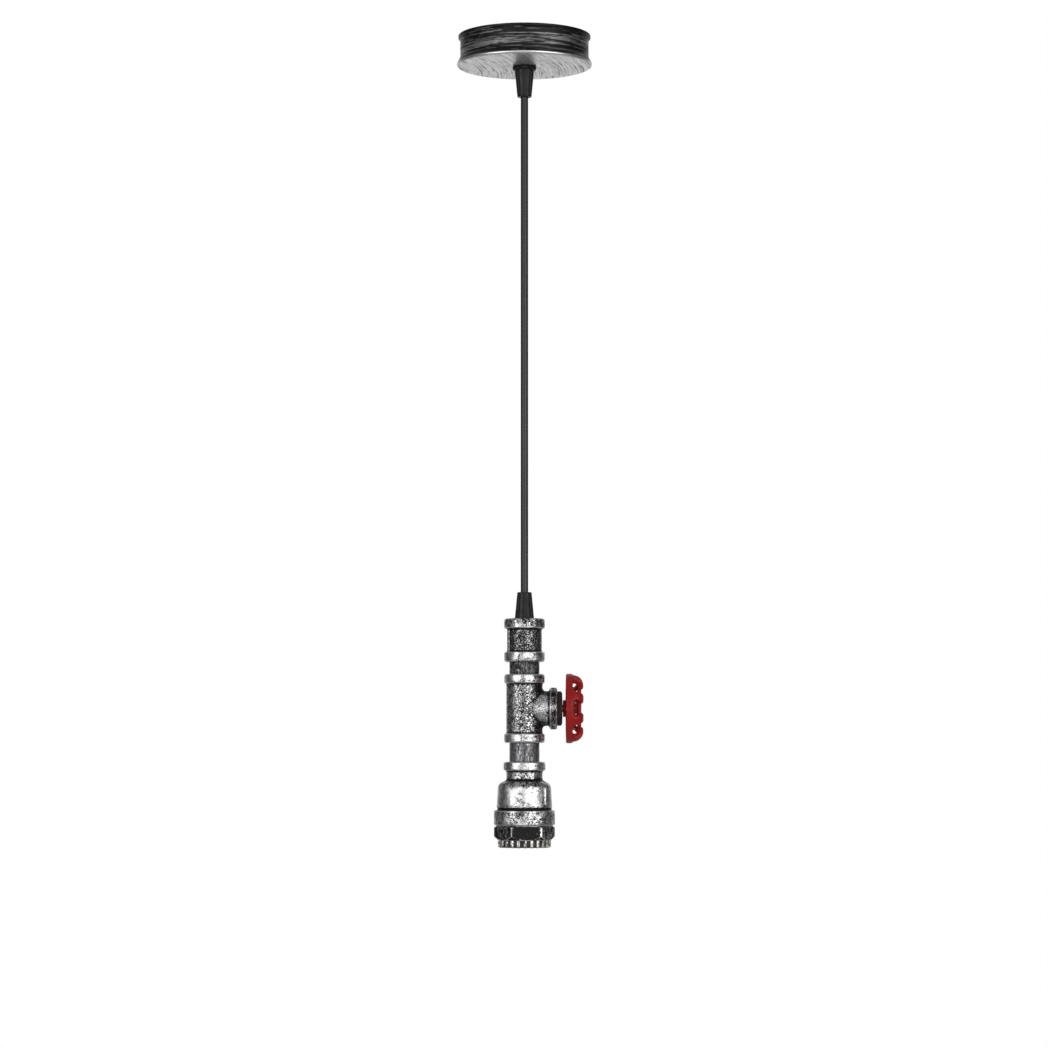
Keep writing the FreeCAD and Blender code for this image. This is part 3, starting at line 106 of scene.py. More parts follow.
class NodeBench:
    """Adds and joins the nodes of one tree."""

    def __init__(self, tree: Tree) -> None:
        """Empties the tree.

        Args:
            tree: the shader or geometry tree to fill.
        """
        self.tree = tree
        tree.nodes.clear()

    def feed(self, socket: Socket, value: object) -> None:
        """Links a node or socket to an input, or sets the input's own value.

        Args:
            socket: the input.
            value: a node, an output socket or a plain value.
        """
        if isinstance(value, Node):
            value = value.outputs[0]
        if isinstance(value, Socket):
            self.tree.links.new(value, socket)
        else:
            socket.default_value = value

    def add(self, kind: str, feeds: dict | None = None, **settings: object) -> Node:
        """Adds a node.

        Args:
            kind: the node's type.
            feeds: what goes to its inputs, by name or number.
            settings: its own properties.

        Returns:
            The node.
        """
        node = self.tree.nodes.new(kind)
        for name, value in settings.items():
            setattr(node, name, value)
        for key, value in (feeds or {}).items():
            self.feed(node.inputs[key], value)
        return node

    def calc(self, operation: str, first: object, second: object = 0.0) -> Socket:
        """Returns the result of one Math node."""
        return self.add("ShaderNodeMath", {0: first, 1: second}, operation=operation).outputs[0]

    def times(self, first: object, second: object) -> Socket:
        """Returns the product of two values."""
        return self.calc("MULTIPLY", first, second)

    def total(self, *terms: object) -> Socket:
        """Returns the sum of several values."""
        result = terms[0]
        for term in terms[1:]:
            result = self.calc("ADD", result, term)
        return result

    def step(self, value: object, low: object, high: object, end: float = 1.0) -> Socket:
        """Returns a smooth step of a value.

        Args:
            value: what is measured.
            low: where the step starts, at 0.
            high: where it ends.
            end: its height.

        Returns:
            The step's socket.
        """
        feeds = {"Value": value, "From Min": low, "From Max": high, "To Max": end}
        return self.add("ShaderNodeMapRange", feeds, interpolation_type="SMOOTHSTEP").outputs[0]

    def cut(self, level: Socket, softness: Socket) -> Socket:
        """Returns where a level passes one half, with edges of some softness."""
        low, high = self.calc("SUBTRACT", 0.5, softness), self.calc("ADD", 0.5, softness)
        return self.step(level, low, high)

    def between(self, share: object, low: float, high: float) -> Socket:
        """Returns the value between two ends at a share from 0 to 1."""
        feeds = {"Value": share, "To Min": low, "To Max": high}
        return self.add("ShaderNodeMapRange", feeds).outputs[0]

    def tint(self, share: object, first: object, second: object, mode: str = "MIX") -> Socket:
        """Mixes two colours.

        Args:
            share: how much of the second.
            first: a colour.
            second: a colour.
            mode: the blend mode.

        Returns:
            The mixed colour's socket.
        """
        feeds = {0: share, 6: first, 7: second}
        return self.add("ShaderNodeMix", feeds, data_type="RGBA", blend_type=mode).outputs[2]

    def noise(self, place: object, scale: object, detail: float = 2.0, rough: float = 0.5) -> Socket:
        """Returns the value of a noise texture with so many features to a metre."""
        feeds = {"Vector": place, "Scale": scale, "Detail": detail, "Roughness": rough}
        return self.add("ShaderNodeTexNoise", feeds).outputs[0]

    def stretch(self, place: object, scale: tuple, turn: tuple = (0.0, 0.0, 0.0)) -> Socket:
        """Returns coordinates that are turned and scaled by axis."""
        feeds = {"Vector": place, "Scale": scale, "Rotation": turn}
        return self.add("ShaderNodeMapping", feeds).outputs[0]

    def mark(self, name: str) -> Socket:
        """Returns a float attribute of the surface."""
        return self.add("ShaderNodeAttribute", attribute_name=name).outputs["Fac"]

    def bump(self, height: object, depth: float, strength: float = 1.0) -> Socket:
        """Returns a normal from a height of so many metres."""
        feeds = {"Height": height, "Distance": depth, "Strength": strength}
        return self.add("ShaderNodeBump", feeds).outputs[0]


def name_sockets(tree: Tree, in_out: str, kinds: dict[str, str]) -> dict[str, str]:
    """Gives a tree its named sockets.

    Args:
        tree: the tree.
        in_out: INPUT or OUTPUT.
        kinds: the kind of each socket, by name.

    Returns:
        The sockets' identifiers, by name.
    """
    made = {}
    for name, kind in kinds.items():
        kind = "NodeSocket" + kind
        made[name] = tree.interface.new_socket(name=name, in_out=in_out, socket_type=kind).identifier
    return made


class ShaderGroup:
    """A shader node group that several finishes share."""

    def __init__(self, name: str, inputs: dict[str, object], outputs: tuple[str, ...]) -> None:
        """Makes the group and its sockets.

        Args:
            name: the group's name.
            inputs: each input's plain value, None for a vector.
            outputs: names of the float outputs.
        """
        self.tree = bpy.data.node_groups.new(name, "ShaderNodeTree")
        self.bench = NodeBench(self.tree)
        kinds = {key: "Vector" if value is None else "Float" for key, value in inputs.items()}
        name_sockets(self.tree, "INPUT", kinds)
        for key, value in inputs.items():
            if value is not None:
                self.tree.interface.items_tree[key].default_value = value
        name_sockets(self.tree, "OUTPUT", dict.fromkeys(outputs, "Float"))
        self.entry = self.bench.add("NodeGroupInput")
        self.exit = self.bench.add("NodeGroupOutput")

    def given(self, name: str) -> Socket:
        """Returns what comes in by an input."""
        return self.entry.outputs[name]

    def give(self, name: str, value: object) -> None:
        """Sends a value out."""
        self.bench.feed(self.exit.inputs[name], value)

    def place_in(self, bench: NodeBench, feeds: dict) -> Node:
        """Adds the group to a material.

        Args:
            bench: the material's nodes.
            feeds: what goes to the group's inputs.

        Returns:
            The group node.
        """
        return bench.add("ShaderNodeGroup", feeds, node_tree=self.tree)


class Effects:
    """The shared effects, each built the first time it is asked for.

    A share pair holds a value for silver in patches and one for silver as an even, sandy grain.
    """

    raised_edge = (0.16, 0.6)
    creased_edge = (0.1, 0.55)
    fine_share = (0.7, 0.3)
    grit_share = (0.3, 0.7)
    patch_share = (1.0, 0.25)
    skin_share = (0.12, 0.03)
    grit_scale = 0.85
    lump_share = 0.3
    bristle_share = 0.62
    dry_share = 0.38
    dry_scale = 0.27
    blotch_range = (0.32, 0.68)

    @staticmethod
    @cache
    def dry_brush() -> ShaderGroup:
        """Silver left on the high spots of a black casting.

        Returns:
            The group, with the silver's mask and the surface's height.
        """
        sizes = {
            "Place": None,
            "Specks": 800.0,
            "Lumps": 700.0,
            "Patches": 90.0,
            "Coverage": 0.0,
            "Patchiness": 0.3,
            "Softness": 0.06,
            "Edges": 0.2,
            "Creases": 0.3,
        }
        group = ShaderGroup("dry_brush", sizes, ("Mask", "Height"))
        b = group.bench
        edge = b.mark("edge")
        raised = b.step(edge, *Effects.raised_edge)
        crease = b.step(b.times(edge, -1.0), *Effects.creased_edge)
        place, specks = group.given("Place"), group.given("Specks")
        fine = b.noise(place, specks, 4.0, 0.62)
        grit = b.noise(place, b.times(specks, Effects.grit_scale), 1.0)
        patch = b.noise(place, group.given("Patches"))
        lumps = b.noise(place, group.given("Lumps"))
        calm = b.mark("calm")
        height = b.total(
            b.times(fine, b.between(calm, *Effects.fine_share)),
            b.times(grit, b.between(calm, *Effects.grit_share)),
        )
        uneven = b.times(b.calc("SUBTRACT", patch, 0.5), group.given("Patchiness"))
        level = b.total(
            height,
            b.times(uneven, b.between(calm, *Effects.patch_share)),
            b.times(b.mark("skin"), b.between(calm, *Effects.skin_share)),
            b.times(raised, group.given("Edges")),
            # this mark holds the brush's silver together with painted light and shade from the
            # sub-assemblies
            b.mark("brushing_and_shade"),
            b.times(crease, b.times(group.given("Creases"), -1.0)),
            group.given("Coverage"),
        )
        group.give("Mask", b.cut(level, group.given("Softness")))
        group.give("Height", b.calc("ADD", height, b.times(lumps, Effects.lump_share)))
        return group

    @staticmethod
    @cache
    def strokes() -> ShaderGroup:
        """Brush strokes along one direction, broken where the brush ran dry.

        Returns:
            The group, with the strokes' mask.
        """
        sizes = {"Place": None, "Bristles": 1.0, "Coverage": 0.0, "Softness": 0.05}
        group = ShaderGroup("strokes", sizes, ("Mask", "Height"))
        b = group.bench
        place, bristles = group.given("Place"), group.given("Bristles")
        bristle = b.noise(place, bristles, 3.0, 0.6)
        dry = b.noise(place, b.times(bristles, Effects.dry_scale), 1.0, 0.4)
        level = b.total(
            b.times(bristle, Effects.bristle_share),
            b.times(dry, Effects.dry_share),
            group.given("Coverage"),
        )
        group.give("Mask", b.cut(level, group.given("Softness")))
        group.give("Height", bristle)
        return group

    @staticmethod
    @cache
    def grain() -> ShaderGroup:
        """A fine grain over broad blotches, for moulded, plated and sheathed parts.

        Returns:
            The group, with the blotches and the grain's height.
        """
        sizes = {"Place": None, "Grain": 2500.0, "Blotches": 120.0}
        group = ShaderGroup("grain", sizes, ("Blotch", "Height"))
        b = group.bench
        blotch = b.noise(group.given("Place"), group.given("Blotches"), 3.0)
        group.give("Blotch", b.step(blotch, *Effects.blotch_range))
        group.give("Height", b.noise(group.given("Place"), group.given("Grain"), 3.0, 0.6))
        return group


# Finishes


@dataclass(frozen=True)
class Finish:
    """The finish of one slot of the record."""

    slot: Slot

    def build(self) -> Material:
        """Returns the material, made the first time it is asked for."""
        name = self.slot.value + "_finish"
        material = bpy.data.materials.get(name)
        if material is None:
            material = bpy.data.materials.new(name)
            material.use_nodes = True
            bench = NodeBench(material.node_tree)
            feeds = self.shade(bench, bench.add("ShaderNodeTexCoord"))
            shader = bench.add("ShaderNodeBsdfPrincipled", feeds)
            bench.add("ShaderNodeOutputMaterial", {"Surface": shader})
        return material

    def shade(self, bench: NodeBench, coordinates: Node) -> dict[str, object]:
        """Builds the pattern.

        Args:
            bench: the material's nodes.
            coordinates: the Texture Coordinate node.

        Returns:
            What goes to each input of the Principled shader.
        """
        raise NotImplementedError


@dataclass(frozen=True)
class DryBrushed(Finish):
    """Black paint with silver brushed over its high spots."""

    dark: Colour = (0.004, 0.004, 0.005, 1.0)
    silver: Colour = (0.88, 0.88, 0.89, 1.0)
    dull: Colour = (0.20, 0.20, 0.21, 1.0)
    specks: float = 1300.0
    patches: float = 130.0
    coverage: float = -0.02
    patchiness: float = 0.18
    softness: float = 0.05
    edges: float = 0.26
    creases: float = 0.3
    matt: float = 0.2
    shine: Pair = (0.46, 0.28)
    stretch: Triple = (1.0, 1.0, 1.0)
    depth: float = 0.00035
    tarnish_scale: float = 210.0
    tarnish_range: Pair = (0.4, 0.66)
    tarnish_share: float = 0.6
    metal: float = 0.95

    def shade(self, bench: NodeBench, coordinates: Node) -> dict[str, object]:
        """Builds the pattern, see Finish."""
        place = bench.stretch(coordinates.outputs["Object"], self.stretch)
        feeds = {
            "Place": place,
            "Specks": self.specks,
            "Patches": self.patches,
            "Coverage": self.coverage,
            "Patchiness": self.patchiness,
            "Softness": self.softness,
            "Edges": self.edges,
            "Creases": self.creases,
        }
        brushed = Effects.dry_brush().place_in(bench, feeds)
        mask = brushed.outputs["Mask"]
        tarnish = bench.step(bench.noise(place, self.tarnish_scale, 3.0), *self.tarnish_range)
        metal = bench.tint(bench.times(tarnish, self.tarnish_share), self.silver, self.dull)
        return {
            "Base Color": bench.tint(mask, self.dark, metal),
            "Metallic": bench.between(mask, 0.0, self.metal),
            "Roughness": bench.between(mask, *self.shine),
            "Specular IOR Level": self.matt,
            "Normal": bench.bump(brushed.outputs["Height"], self.depth, 0.8),
        }


@dataclass(frozen=True)
class RosePaint(Finish):
    """Black paint brushed with silver: round the side, and across the lower face."""

    dark: Colour = (0.004, 0.004, 0.0045, 1.0)
    silver: Colour = (0.74, 0.74, 0.75, 1.0)
    shadow: Colour = (0.11, 0.11, 0.113, 1.0)
    side_grey: Colour = (0.25, 0.25, 0.255, 1.0)
    sweep: Triple = (0.20, -0.04, 0.0)
    arc_runs: float = 11.0
    fine_width: float = 2100.0
    fine_coverage: float = 0.05
    fine_softness: float = 0.09
    broad_width: float = 520.0
    broad_range: Pair = (0.2, 0.46)
    side_strokes: Triple = (52.0, 52.0, 1900.0)
    side_coverage: float = -0.035
    side_softness: float = 0.015
    side_share: float = 0.6
    rim_range: Pair = (-0.007, -0.003)
    rim_coverage: float = -0.05
    facing_down: Pair = (0.86, 0.97)
    facing_up: Pair = (-0.7, -0.3)
    worn_edge: Pair = (0.1, 0.7)
    shine: Pair = (0.42, 0.36)
    gloss: float = 0.25
    metal: float = 0.9
    depth: float = 0.00012

    def arcs(self, bench: NodeBench, place: Socket, width: float) -> Socket:
        """Returns coordinates along the long arcs that the brush took across the lower face."""
        moved = bench.add("ShaderNodeVectorMath", {0: place, 1: self.sweep}, operation="ADD")
        parts = bench.add("ShaderNodeSeparateXYZ", {0: moved}).outputs
        angle = bench.calc("ARCTAN2", parts["Y"], parts["X"])
        flat = bench.add("ShaderNodeVectorMath", {0: moved, 1: (1.0, 1.0, 0.0)}, operation="MULTIPLY")
        reach = bench.add("ShaderNodeVectorMath", {0: flat}, operation="LENGTH").outputs["Value"]
        feeds = {0: bench.times(reach, width), 1: bench.times(angle, self.arc_runs)}
        return bench.add("ShaderNodeCombineXYZ", feeds).outputs[0]

    def shade(self, bench: NodeBench, coordinates: Node) -> dict[str, object]:
        """Builds the pattern, see Finish."""
        place = coordinates.outputs["Object"]
        strokes = Effects.strokes()
        height_z = bench.add("ShaderNodeSeparateXYZ", {0: place}).outputs["Z"]
        rim = bench.step(height_z, *self.rim_range, self.rim_coverage)
        feeds = {
            "Place": bench.stretch(place, self.side_strokes),
            "Coverage": bench.total(rim, self.side_coverage),
            "Softness": self.side_softness,
        }
        side = strokes.place_in(bench, feeds)
        feeds = {
            "Place": self.arcs(bench, place, self.fine_width),
            "Coverage": self.fine_coverage,
            "Softness": self.fine_softness,
        }
        fine = strokes.place_in(bench, feeds)
        broad = bench.noise(self.arcs(bench, place, self.broad_width), 1.0, 3.0, 0.6)
        face = bench.times(fine.outputs["Mask"], bench.step(broad, *self.broad_range))
        normal = bench.add("ShaderNodeSeparateXYZ", {0: coordinates.outputs["Normal"]}).outputs["Z"]
        down = bench.times(normal, -1.0)
        below = bench.step(down, *self.facing_down)
        beside = bench.calc("SUBTRACT", 1.0, below)
        brushed_side = bench.times(side.outputs["Mask"], bench.step(down, *self.facing_up))
        worn = bench.step(bench.mark("edge"), *self.worn_edge)
        face_colour = bench.tint(face, self.shadow, self.silver)
        side_colour = bench.tint(brushed_side, self.dark, self.side_grey)
        side_colour = bench.tint(worn, side_colour, self.silver)
        side_mask = bench.calc("MAXIMUM", bench.times(brushed_side, self.side_share), worn)
        mask = bench.total(
            bench.times(bench.between(face, self.side_share, 1.0), below),
            bench.times(side_mask, beside),
        )
        height = bench.total(
            bench.times(fine.outputs["Height"], below),
            bench.times(side.outputs["Height"], beside),
        )
        return {
            "Base Color": bench.tint(below, side_colour, face_colour),
            "Metallic": bench.between(mask, 0.0, self.metal),
            "Roughness": bench.between(mask, *self.shine),
            "Specular IOR Level": self.gloss,
            "Normal": bench.bump(height, self.depth, 0.7),
        }


@dataclass(frozen=True)
class CastEnamel(Finish):
    """Satin enamel on a rough casting, thin on its edges, with painted shade darkening its corners."""

    colour: Colour = (0.33, 0.008, 0.008, 1.0)
    thin: Colour = (0.42, 0.028, 0.022, 1.0)
    deep: Colour = (0.06, 0.002, 0.002, 1.0)
    blotches: float = 0.3
    bare: float = 0.55
    # painted shade: how far the creases and inner corners darken towards the deep colour
    dark_in_hollows: float = 0.8
    dark_corner: Pair = (0.08, 0.6)
    thin_edge: Pair = (0.25, 0.9)
    shine: Pair = (0.34, 0.46)
    gloss: float = 0.25
    depth: float = 0.00018

    def shade(self, bench: NodeBench, coordinates: Node) -> dict[str, object]:
        """Builds the pattern, see Finish."""
        place = coordinates.outputs["Object"]
        edge = bench.mark("edge")
        crease = bench.step(bench.times(edge, -1.0), *self.dark_corner)
        raised = bench.step(edge, *self.thin_edge)
        grain = Effects.grain().place_in(bench, {"Place": place, "Grain": 1500.0, "Blotches": 160.0})
        blotch = bench.times(grain.outputs["Blotch"], self.blotches)
        colour = bench.tint(blotch, self.colour, self.deep)
        colour = bench.tint(bench.times(raised, self.bare), colour, self.thin)
        # painted shade in the creases and inner corners
        colour = bench.tint(bench.times(crease, self.dark_in_hollows), colour, self.deep)
        return {
            "Base Color": colour,
            "Roughness": bench.between(grain.outputs["Blotch"], *self.shine),
            "Specular IOR Level": self.gloss,
            "Normal": bench.bump(grain.outputs["Height"], self.depth, 0.6),
        }


@dataclass(frozen=True)
class Moulded(Finish):
    """A moulded or extruded part with a fine grain and uneven sheen."""

    colour: Colour = (0.010, 0.010, 0.011, 1.0)
    shade_colour: Colour = (0.006, 0.006, 0.007, 1.0)
    shine: Pair = (0.34, 0.48)
    grain_scale: float = 2500.0
    depth: float = 0.00005
    stretch: Triple = (1.0, 1.0, 1.0)
    coat: float = 0.0
    coat_rough: float = 0.12
    gloss: float = 0.3

    def shade(self, bench: NodeBench, coordinates: Node) -> dict[str, object]:
        """Builds the pattern, see Finish."""
        place = bench.stretch(coordinates.outputs["Object"], self.stretch)
        grain = Effects.grain().place_in(bench, {"Place": place, "Grain": self.grain_scale})
        blotch = grain.outputs["Blotch"]
        return {
            "Base Color": bench.tint(blotch, self.colour, self.shade_colour),
            "Roughness": bench.between(blotch, *self.shine),
            "Normal": bench.bump(grain.outputs["Height"], self.depth, 0.6),
            "Specular IOR Level": self.gloss,
            "Coat Weight": self.coat,
            "Coat Roughness": self.coat_rough,
        }


@dataclass(frozen=True)
class StripedCore(Finish):
    """Green insulation with yellow stripes."""

    green: Colour = (0.05, 0.25, 0.04, 1.0)
    yellow: Colour = (0.68, 0.52, 0.04, 1.0)
    slant: Triple = (1.0, 0.8, 1.3)
    stripes: float = 95.0
    stripe_edge: Pair = (0.52, 0.6)
    shine: Pair = (0.35, 0.48)
    depth: float = 0.00003

    def shade(self, bench: NodeBench, coordinates: Node) -> dict[str, object]:
        """Builds the pattern, see Finish."""
        place = bench.stretch(coordinates.outputs["Object"], self.slant)
        feeds = {"Vector": place, "Scale": self.stripes, "Distortion": 0.0}
        bands = bench.add("ShaderNodeTexWave", feeds, bands_direction="DIAGONAL").outputs[1]
        stripe = bench.step(bands, *self.stripe_edge)
        grain = Effects.grain().place_in(bench, {"Place": place})
        return {
            "Base Color": bench.tint(stripe, self.green, self.yellow),
            "Roughness": bench.between(grain.outputs["Blotch"], *self.shine),
            "Normal": bench.bump(grain.outputs["Height"], self.depth, 0.5),
        }


@dataclass(frozen=True)
class BareMetal(Finish):
    """Plated or turned metal with fine tool marks and dull spots."""

    colour: Colour = (0.62, 0.62, 0.63, 1.0)
    dull: Colour = (0.42, 0.42, 0.43, 1.0)
    shine: Pair = (0.24, 0.42)
    marks: Triple = (120.0, 900.0, 900.0)
    depth: float = 0.00004

    def shade(self, bench: NodeBench, coordinates: Node) -> dict[str, object]:
        """Builds the pattern, see Finish."""
        place = coordinates.outputs["Object"]
        grain = Effects.grain().place_in(bench, {"Place": place, "Grain": 1800.0, "Blotches": 220.0})
        lines = bench.noise(bench.stretch(place, self.marks), 1.0, 3.0, 0.6)
        blotch = grain.outputs["Blotch"]
        height = bench.total(lines, bench.times(grain.outputs["Height"], 0.3))
        return {
            "Base Color": bench.tint(blotch, self.colour, self.dull),
            "Metallic": 1.0,
            "Roughness": bench.between(blotch, *self.shine),
            "Normal": bench.bump(height, self.depth, 0.5),
        }


@dataclass(frozen=True)
class RingPewter(Finish):
    """Silver teeth with dark brown in the grooves between them."""

    dark_in_hollows: Colour = (0.016, 0.009, 0.006, 1.0)
    silver: Colour = (0.86, 0.84, 0.80, 1.0)
    specks: float = 700.0
    coverage: float = -0.2
    softness: float = 0.12
    shine: Pair = (0.6, 0.34)
    metal: float = 0.9
    depth: float = 0.0002

    def shade(self, bench: NodeBench, coordinates: Node) -> dict[str, object]:
        """Builds the pattern, see Finish."""
        place = coordinates.outputs["Object"]
        feeds = {"Place": place, "Specks": self.specks}
        feeds |= {"Coverage": self.coverage, "Softness": self.softness}
        brushed = Effects.dry_brush().place_in(bench, feeds)
        mask = brushed.outputs["Mask"]
        return {
            "Base Color": bench.tint(mask, self.dark_in_hollows, self.silver),
            "Metallic": bench.between(mask, 0.0, self.metal),
            "Roughness": bench.between(mask, *self.shine),
            "Normal": bench.bump(brushed.outputs["Height"], self.depth, 0.6),
        }


FINISHES: dict[Slot, Finish] = {
    f.slot: f
    for f in (
        RosePaint(Slot.ROSE_PAINT),
        DryBrushed(Slot.CAST_PEWTER),
        DryBrushed(
            Slot.NIPPLE_PEWTER,
            silver=(0.42, 0.42, 0.43, 1.0),
            dull=(0.14, 0.14, 0.15, 1.0),
            specks=1000.0,
            coverage=-0.04,
            softness=0.18,
            stretch=(1.0, 1.0, 0.35),
            depth=0.00018,
            shine=(0.46, 0.26),
        ),
        RingPewter(Slot.RING_PEWTER),
        CastEnamel(Slot.RED_PAINT),
        Moulded(Slot.GRIP_BLACK),
        Moulded(
            Slot.CABLE_BLACK,
            shine=(0.34, 0.4),
            stretch=(1.0, 1.0, 0.06),
            depth=0.00001,
            gloss=0.5,
        ),
        BareMetal(Slot.ZINC_STEEL),
        BareMetal(Slot.BRASS, colour=(0.72, 0.50, 0.20, 1.0), dull=(0.52, 0.34, 0.13, 1.0)),
        Moulded(
            Slot.BLOCK_NYLON,
            colour=(0.80, 0.79, 0.73, 1.0),
            shade_colour=(0.72, 0.70, 0.62, 1.0),
            shine=(0.4, 0.55),
        ),
        Moulded(
            Slot.CORE_BROWN,
            colour=(0.16, 0.06, 0.025, 1.0),
            shade_colour=(0.12, 0.045, 0.02, 1.0),
        ),
        Moulded(
            Slot.CORE_BLUE,
            colour=(0.03, 0.12, 0.50, 1.0),
            shade_colour=(0.025, 0.09, 0.4, 1.0),
        ),
        StripedCore(Slot.CORE_GREEN),
        Moulded(Slot.PHENOLIC, shine=(0.16, 0.28), coat=0.4),
        Moulded(
            Slot.PORCELAIN,
            colour=(0.84, 0.83, 0.79, 1.0),
            shade_colour=(0.80, 0.78, 0.72, 1.0),
            shine=(0.12, 0.22),
            grain_scale=400.0,
            coat=0.6,
        ),
        BareMetal(
            Slot.SHELL_BRASS,
            colour=(0.78, 0.70, 0.50, 1.0),
            dull=(0.58, 0.49, 0.30, 1.0),
            marks=(300.0, 300.0, 60.0),
        ),
        Moulded(
            Slot.FIBRE,
            colour=(0.30, 0.06, 0.04, 1.0),
            shade_colour=(0.22, 0.04, 0.03, 1.0),
            shine=(0.55, 0.7),
        ),
    )
}


# Meshes


def mesh_points(mesh: Mesh) -> np.ndarray:
    """Returns the places of a mesh's vertices, one row each."""
    places = np.empty(len(mesh.vertices) * 3, np.float32)
    mesh.vertices.foreach_get("co", places)
    return places.reshape(-1, 3).astype(float)


def mesh_normals(mesh: Mesh) -> np.ndarray:
    """Returns the normals at a mesh's vertices, one row each."""
    normals = np.empty(len(mesh.vertices) * 3, np.float32)
    mesh.vertex_normals.foreach_get("vector", normals)
    return normals.reshape(-1, 3).astype(float)


def mesh_edges(mesh: Mesh) -> np.ndarray:
    """Returns the two vertices of each edge, one row each."""
    edges = np.empty(len(mesh.edges) * 2, np.int32)
    mesh.edges.foreach_get("vertices", edges)
    return edges.reshape(-1, 2)


def neighbour_mean(values: np.ndarray, edges: np.ndarray) -> np.ndarray:
    """Averages a value over each vertex's neighbours.

    Args:
        values: one row for each vertex.
        edges: the two vertices of each edge.

    Returns:
        The averages, one row for each vertex.
    """
    first, second = edges[:, 0], edges[:, 1]
    count = len(values)
    degree = np.bincount(first, minlength=count) + np.bincount(second, minlength=count)
    columns = []
    for column in values.reshape(count, -1).T:
        total = np.bincount(first, column[second], count)
        total += np.bincount(second, column[first], count)
        columns.append(total / np.maximum(degree, 1))
    return np.array(columns).T.reshape(values.shape)


def smooth_step(values: np.ndarray, low: float, high: float) -> np.ndarray:
    """Returns 0 below low, 1 above high, and a smooth rise between them."""
    share = np.clip((values - low) / (high - low), 0, 1)
    return share * share * (3 - 2 * share)


def write_mark(mesh: Mesh, name: str, values: np.ndarray) -> None:
    """Stores a float for each vertex as an attribute."""
    attribute = mesh.attributes.new(name, "FLOAT", "POINT")
    attribute.data.foreach_set("value", values.astype(np.float32))


def add_object(name: str, data: bpy.types.ID) -> Piece:
    """Returns a new object in the scene with this mesh, curve, lamp or lens."""
    piece = bpy.data.objects.new(name, data)
    bpy.context.scene.collection.objects.link(piece)
    return piece


def mesh_from(work: bmesh.types.BMesh, name: str) -> Mesh:
    """Returns a new mesh of what was worked on, and frees the work."""
    mesh = bpy.data.meshes.new(name)
    work.to_mesh(mesh)
    work.free()
    return mesh


def shade(mesh: Mesh, angle: float) -> None:
    """Shades a mesh smoothly, up to the edges that bend by more degrees."""
    mesh.shade_smooth()
    mesh.set_sharp_from_angle(angle=math.radians(angle))


def shown_mesh(piece: Piece) -> Mesh:
    """Returns a new mesh of what an object and its modifiers show."""
    bpy.context.view_layer.update()
    evaluated = piece.evaluated_get(bpy.context.evaluated_depsgraph_get())
    return bpy.data.meshes.new_from_object(evaluated)


def settle(piece: Piece) -> None:
    """Turns what a piece's modifiers show into its own plain mesh."""
    mesh = shown_mesh(piece)
    old = piece.data
    piece.modifiers.clear()
    piece.data = mesh
    mesh.name = piece.name
    bpy.data.meshes.remove(old)


def merged_copy(node: str, name: str) -> Piece:
    """Copies a node's mesh and joins its loose triangles.

    Args:
        node: the node.
        name: the new piece's name.

    Returns:
        The copy.
    """
    work = bmesh.new()
    work.from_mesh(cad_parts[node].data)
    bmesh.ops.remove_doubles(work, verts=work.verts, dist=MERGE_DISTANCE)
    return add_object(name, mesh_from(work, name))


@dataclass(frozen=True)
class CastSkin:
    """Turns a crisp solid into a casting: soft edges, an uneven skin and marks for the paint."""

    relaxing: float = 0.5
    full_bend: float = 1.1
    bend_passes: int = 3
    voxel_mm: float = 0.45
    passes: int = 3
    lump_mm: float = 3.2
    unevenness_mm: float = 0.12
    seed: float = 0.0

    def apply(self, piece: Piece) -> None:
        """Remeshes and roughens a piece.

        Args:
            piece: a merged copy of a solid, in metres.
        """
        piece.data.transform(Matrix.Scale(1 / MM, 4))
        remesh = piece.modifiers.new("remesh", "REMESH")
        remesh.mode = "VOXEL"
        remesh.voxel_size = self.voxel_mm
        settle(piece)
        mesh = piece.data
        edges = mesh_edges(mesh)
        places = mesh_points(mesh)
        for _ in range(self.passes):
            places += self.relaxing * (neighbour_mean(places, edges) - places)
        mesh.vertices.foreach_set("co", places.astype(np.float32).ravel())
        mesh.update()
        write_mark(mesh, "edge", self.convexity(mesh, edges))
        mesh.transform(Matrix.Scale(MM, 4))
        mesh.shade_smooth()
        self.roughen(piece)

    def convexity(self, mesh: Mesh, edges: np.ndarray) -> np.ndarray:
        """Measures how sharply the surface bends.

        Args:
            mesh: the remeshed piece, in millimetres.
            edges: its edges.

        Returns:
            About 1 on an outer edge and -1 in an inner corner.
        """
        places = mesh_points(mesh)
        pull = neighbour_mean(places, edges) - places
        bend = -4 * np.einsum("ij,ij->i", pull, mesh_normals(mesh)) / self.voxel_mm**2
        for _ in range(self.bend_passes):
            bend = 0.5 * bend + 0.5 * neighbour_mean(bend, edges)
        return np.clip(bend / self.full_bend, -1, 1)

    def roughen(self, piece: Piece) -> None:
        """Moves the skin in and out with a tree of nodes, and marks how far."""
        skin = piece.modifiers.new("skin", "NODES")
        tree, sockets = SkinTree.get()
        skin.node_group = tree
        skin[sockets["Lump Size"]] = self.lump_mm * MM
        skin[sockets["Unevenness"]] = self.unevenness_mm * MM
        skin[sockets["Seed"]] = self.seed
        settle(piece)


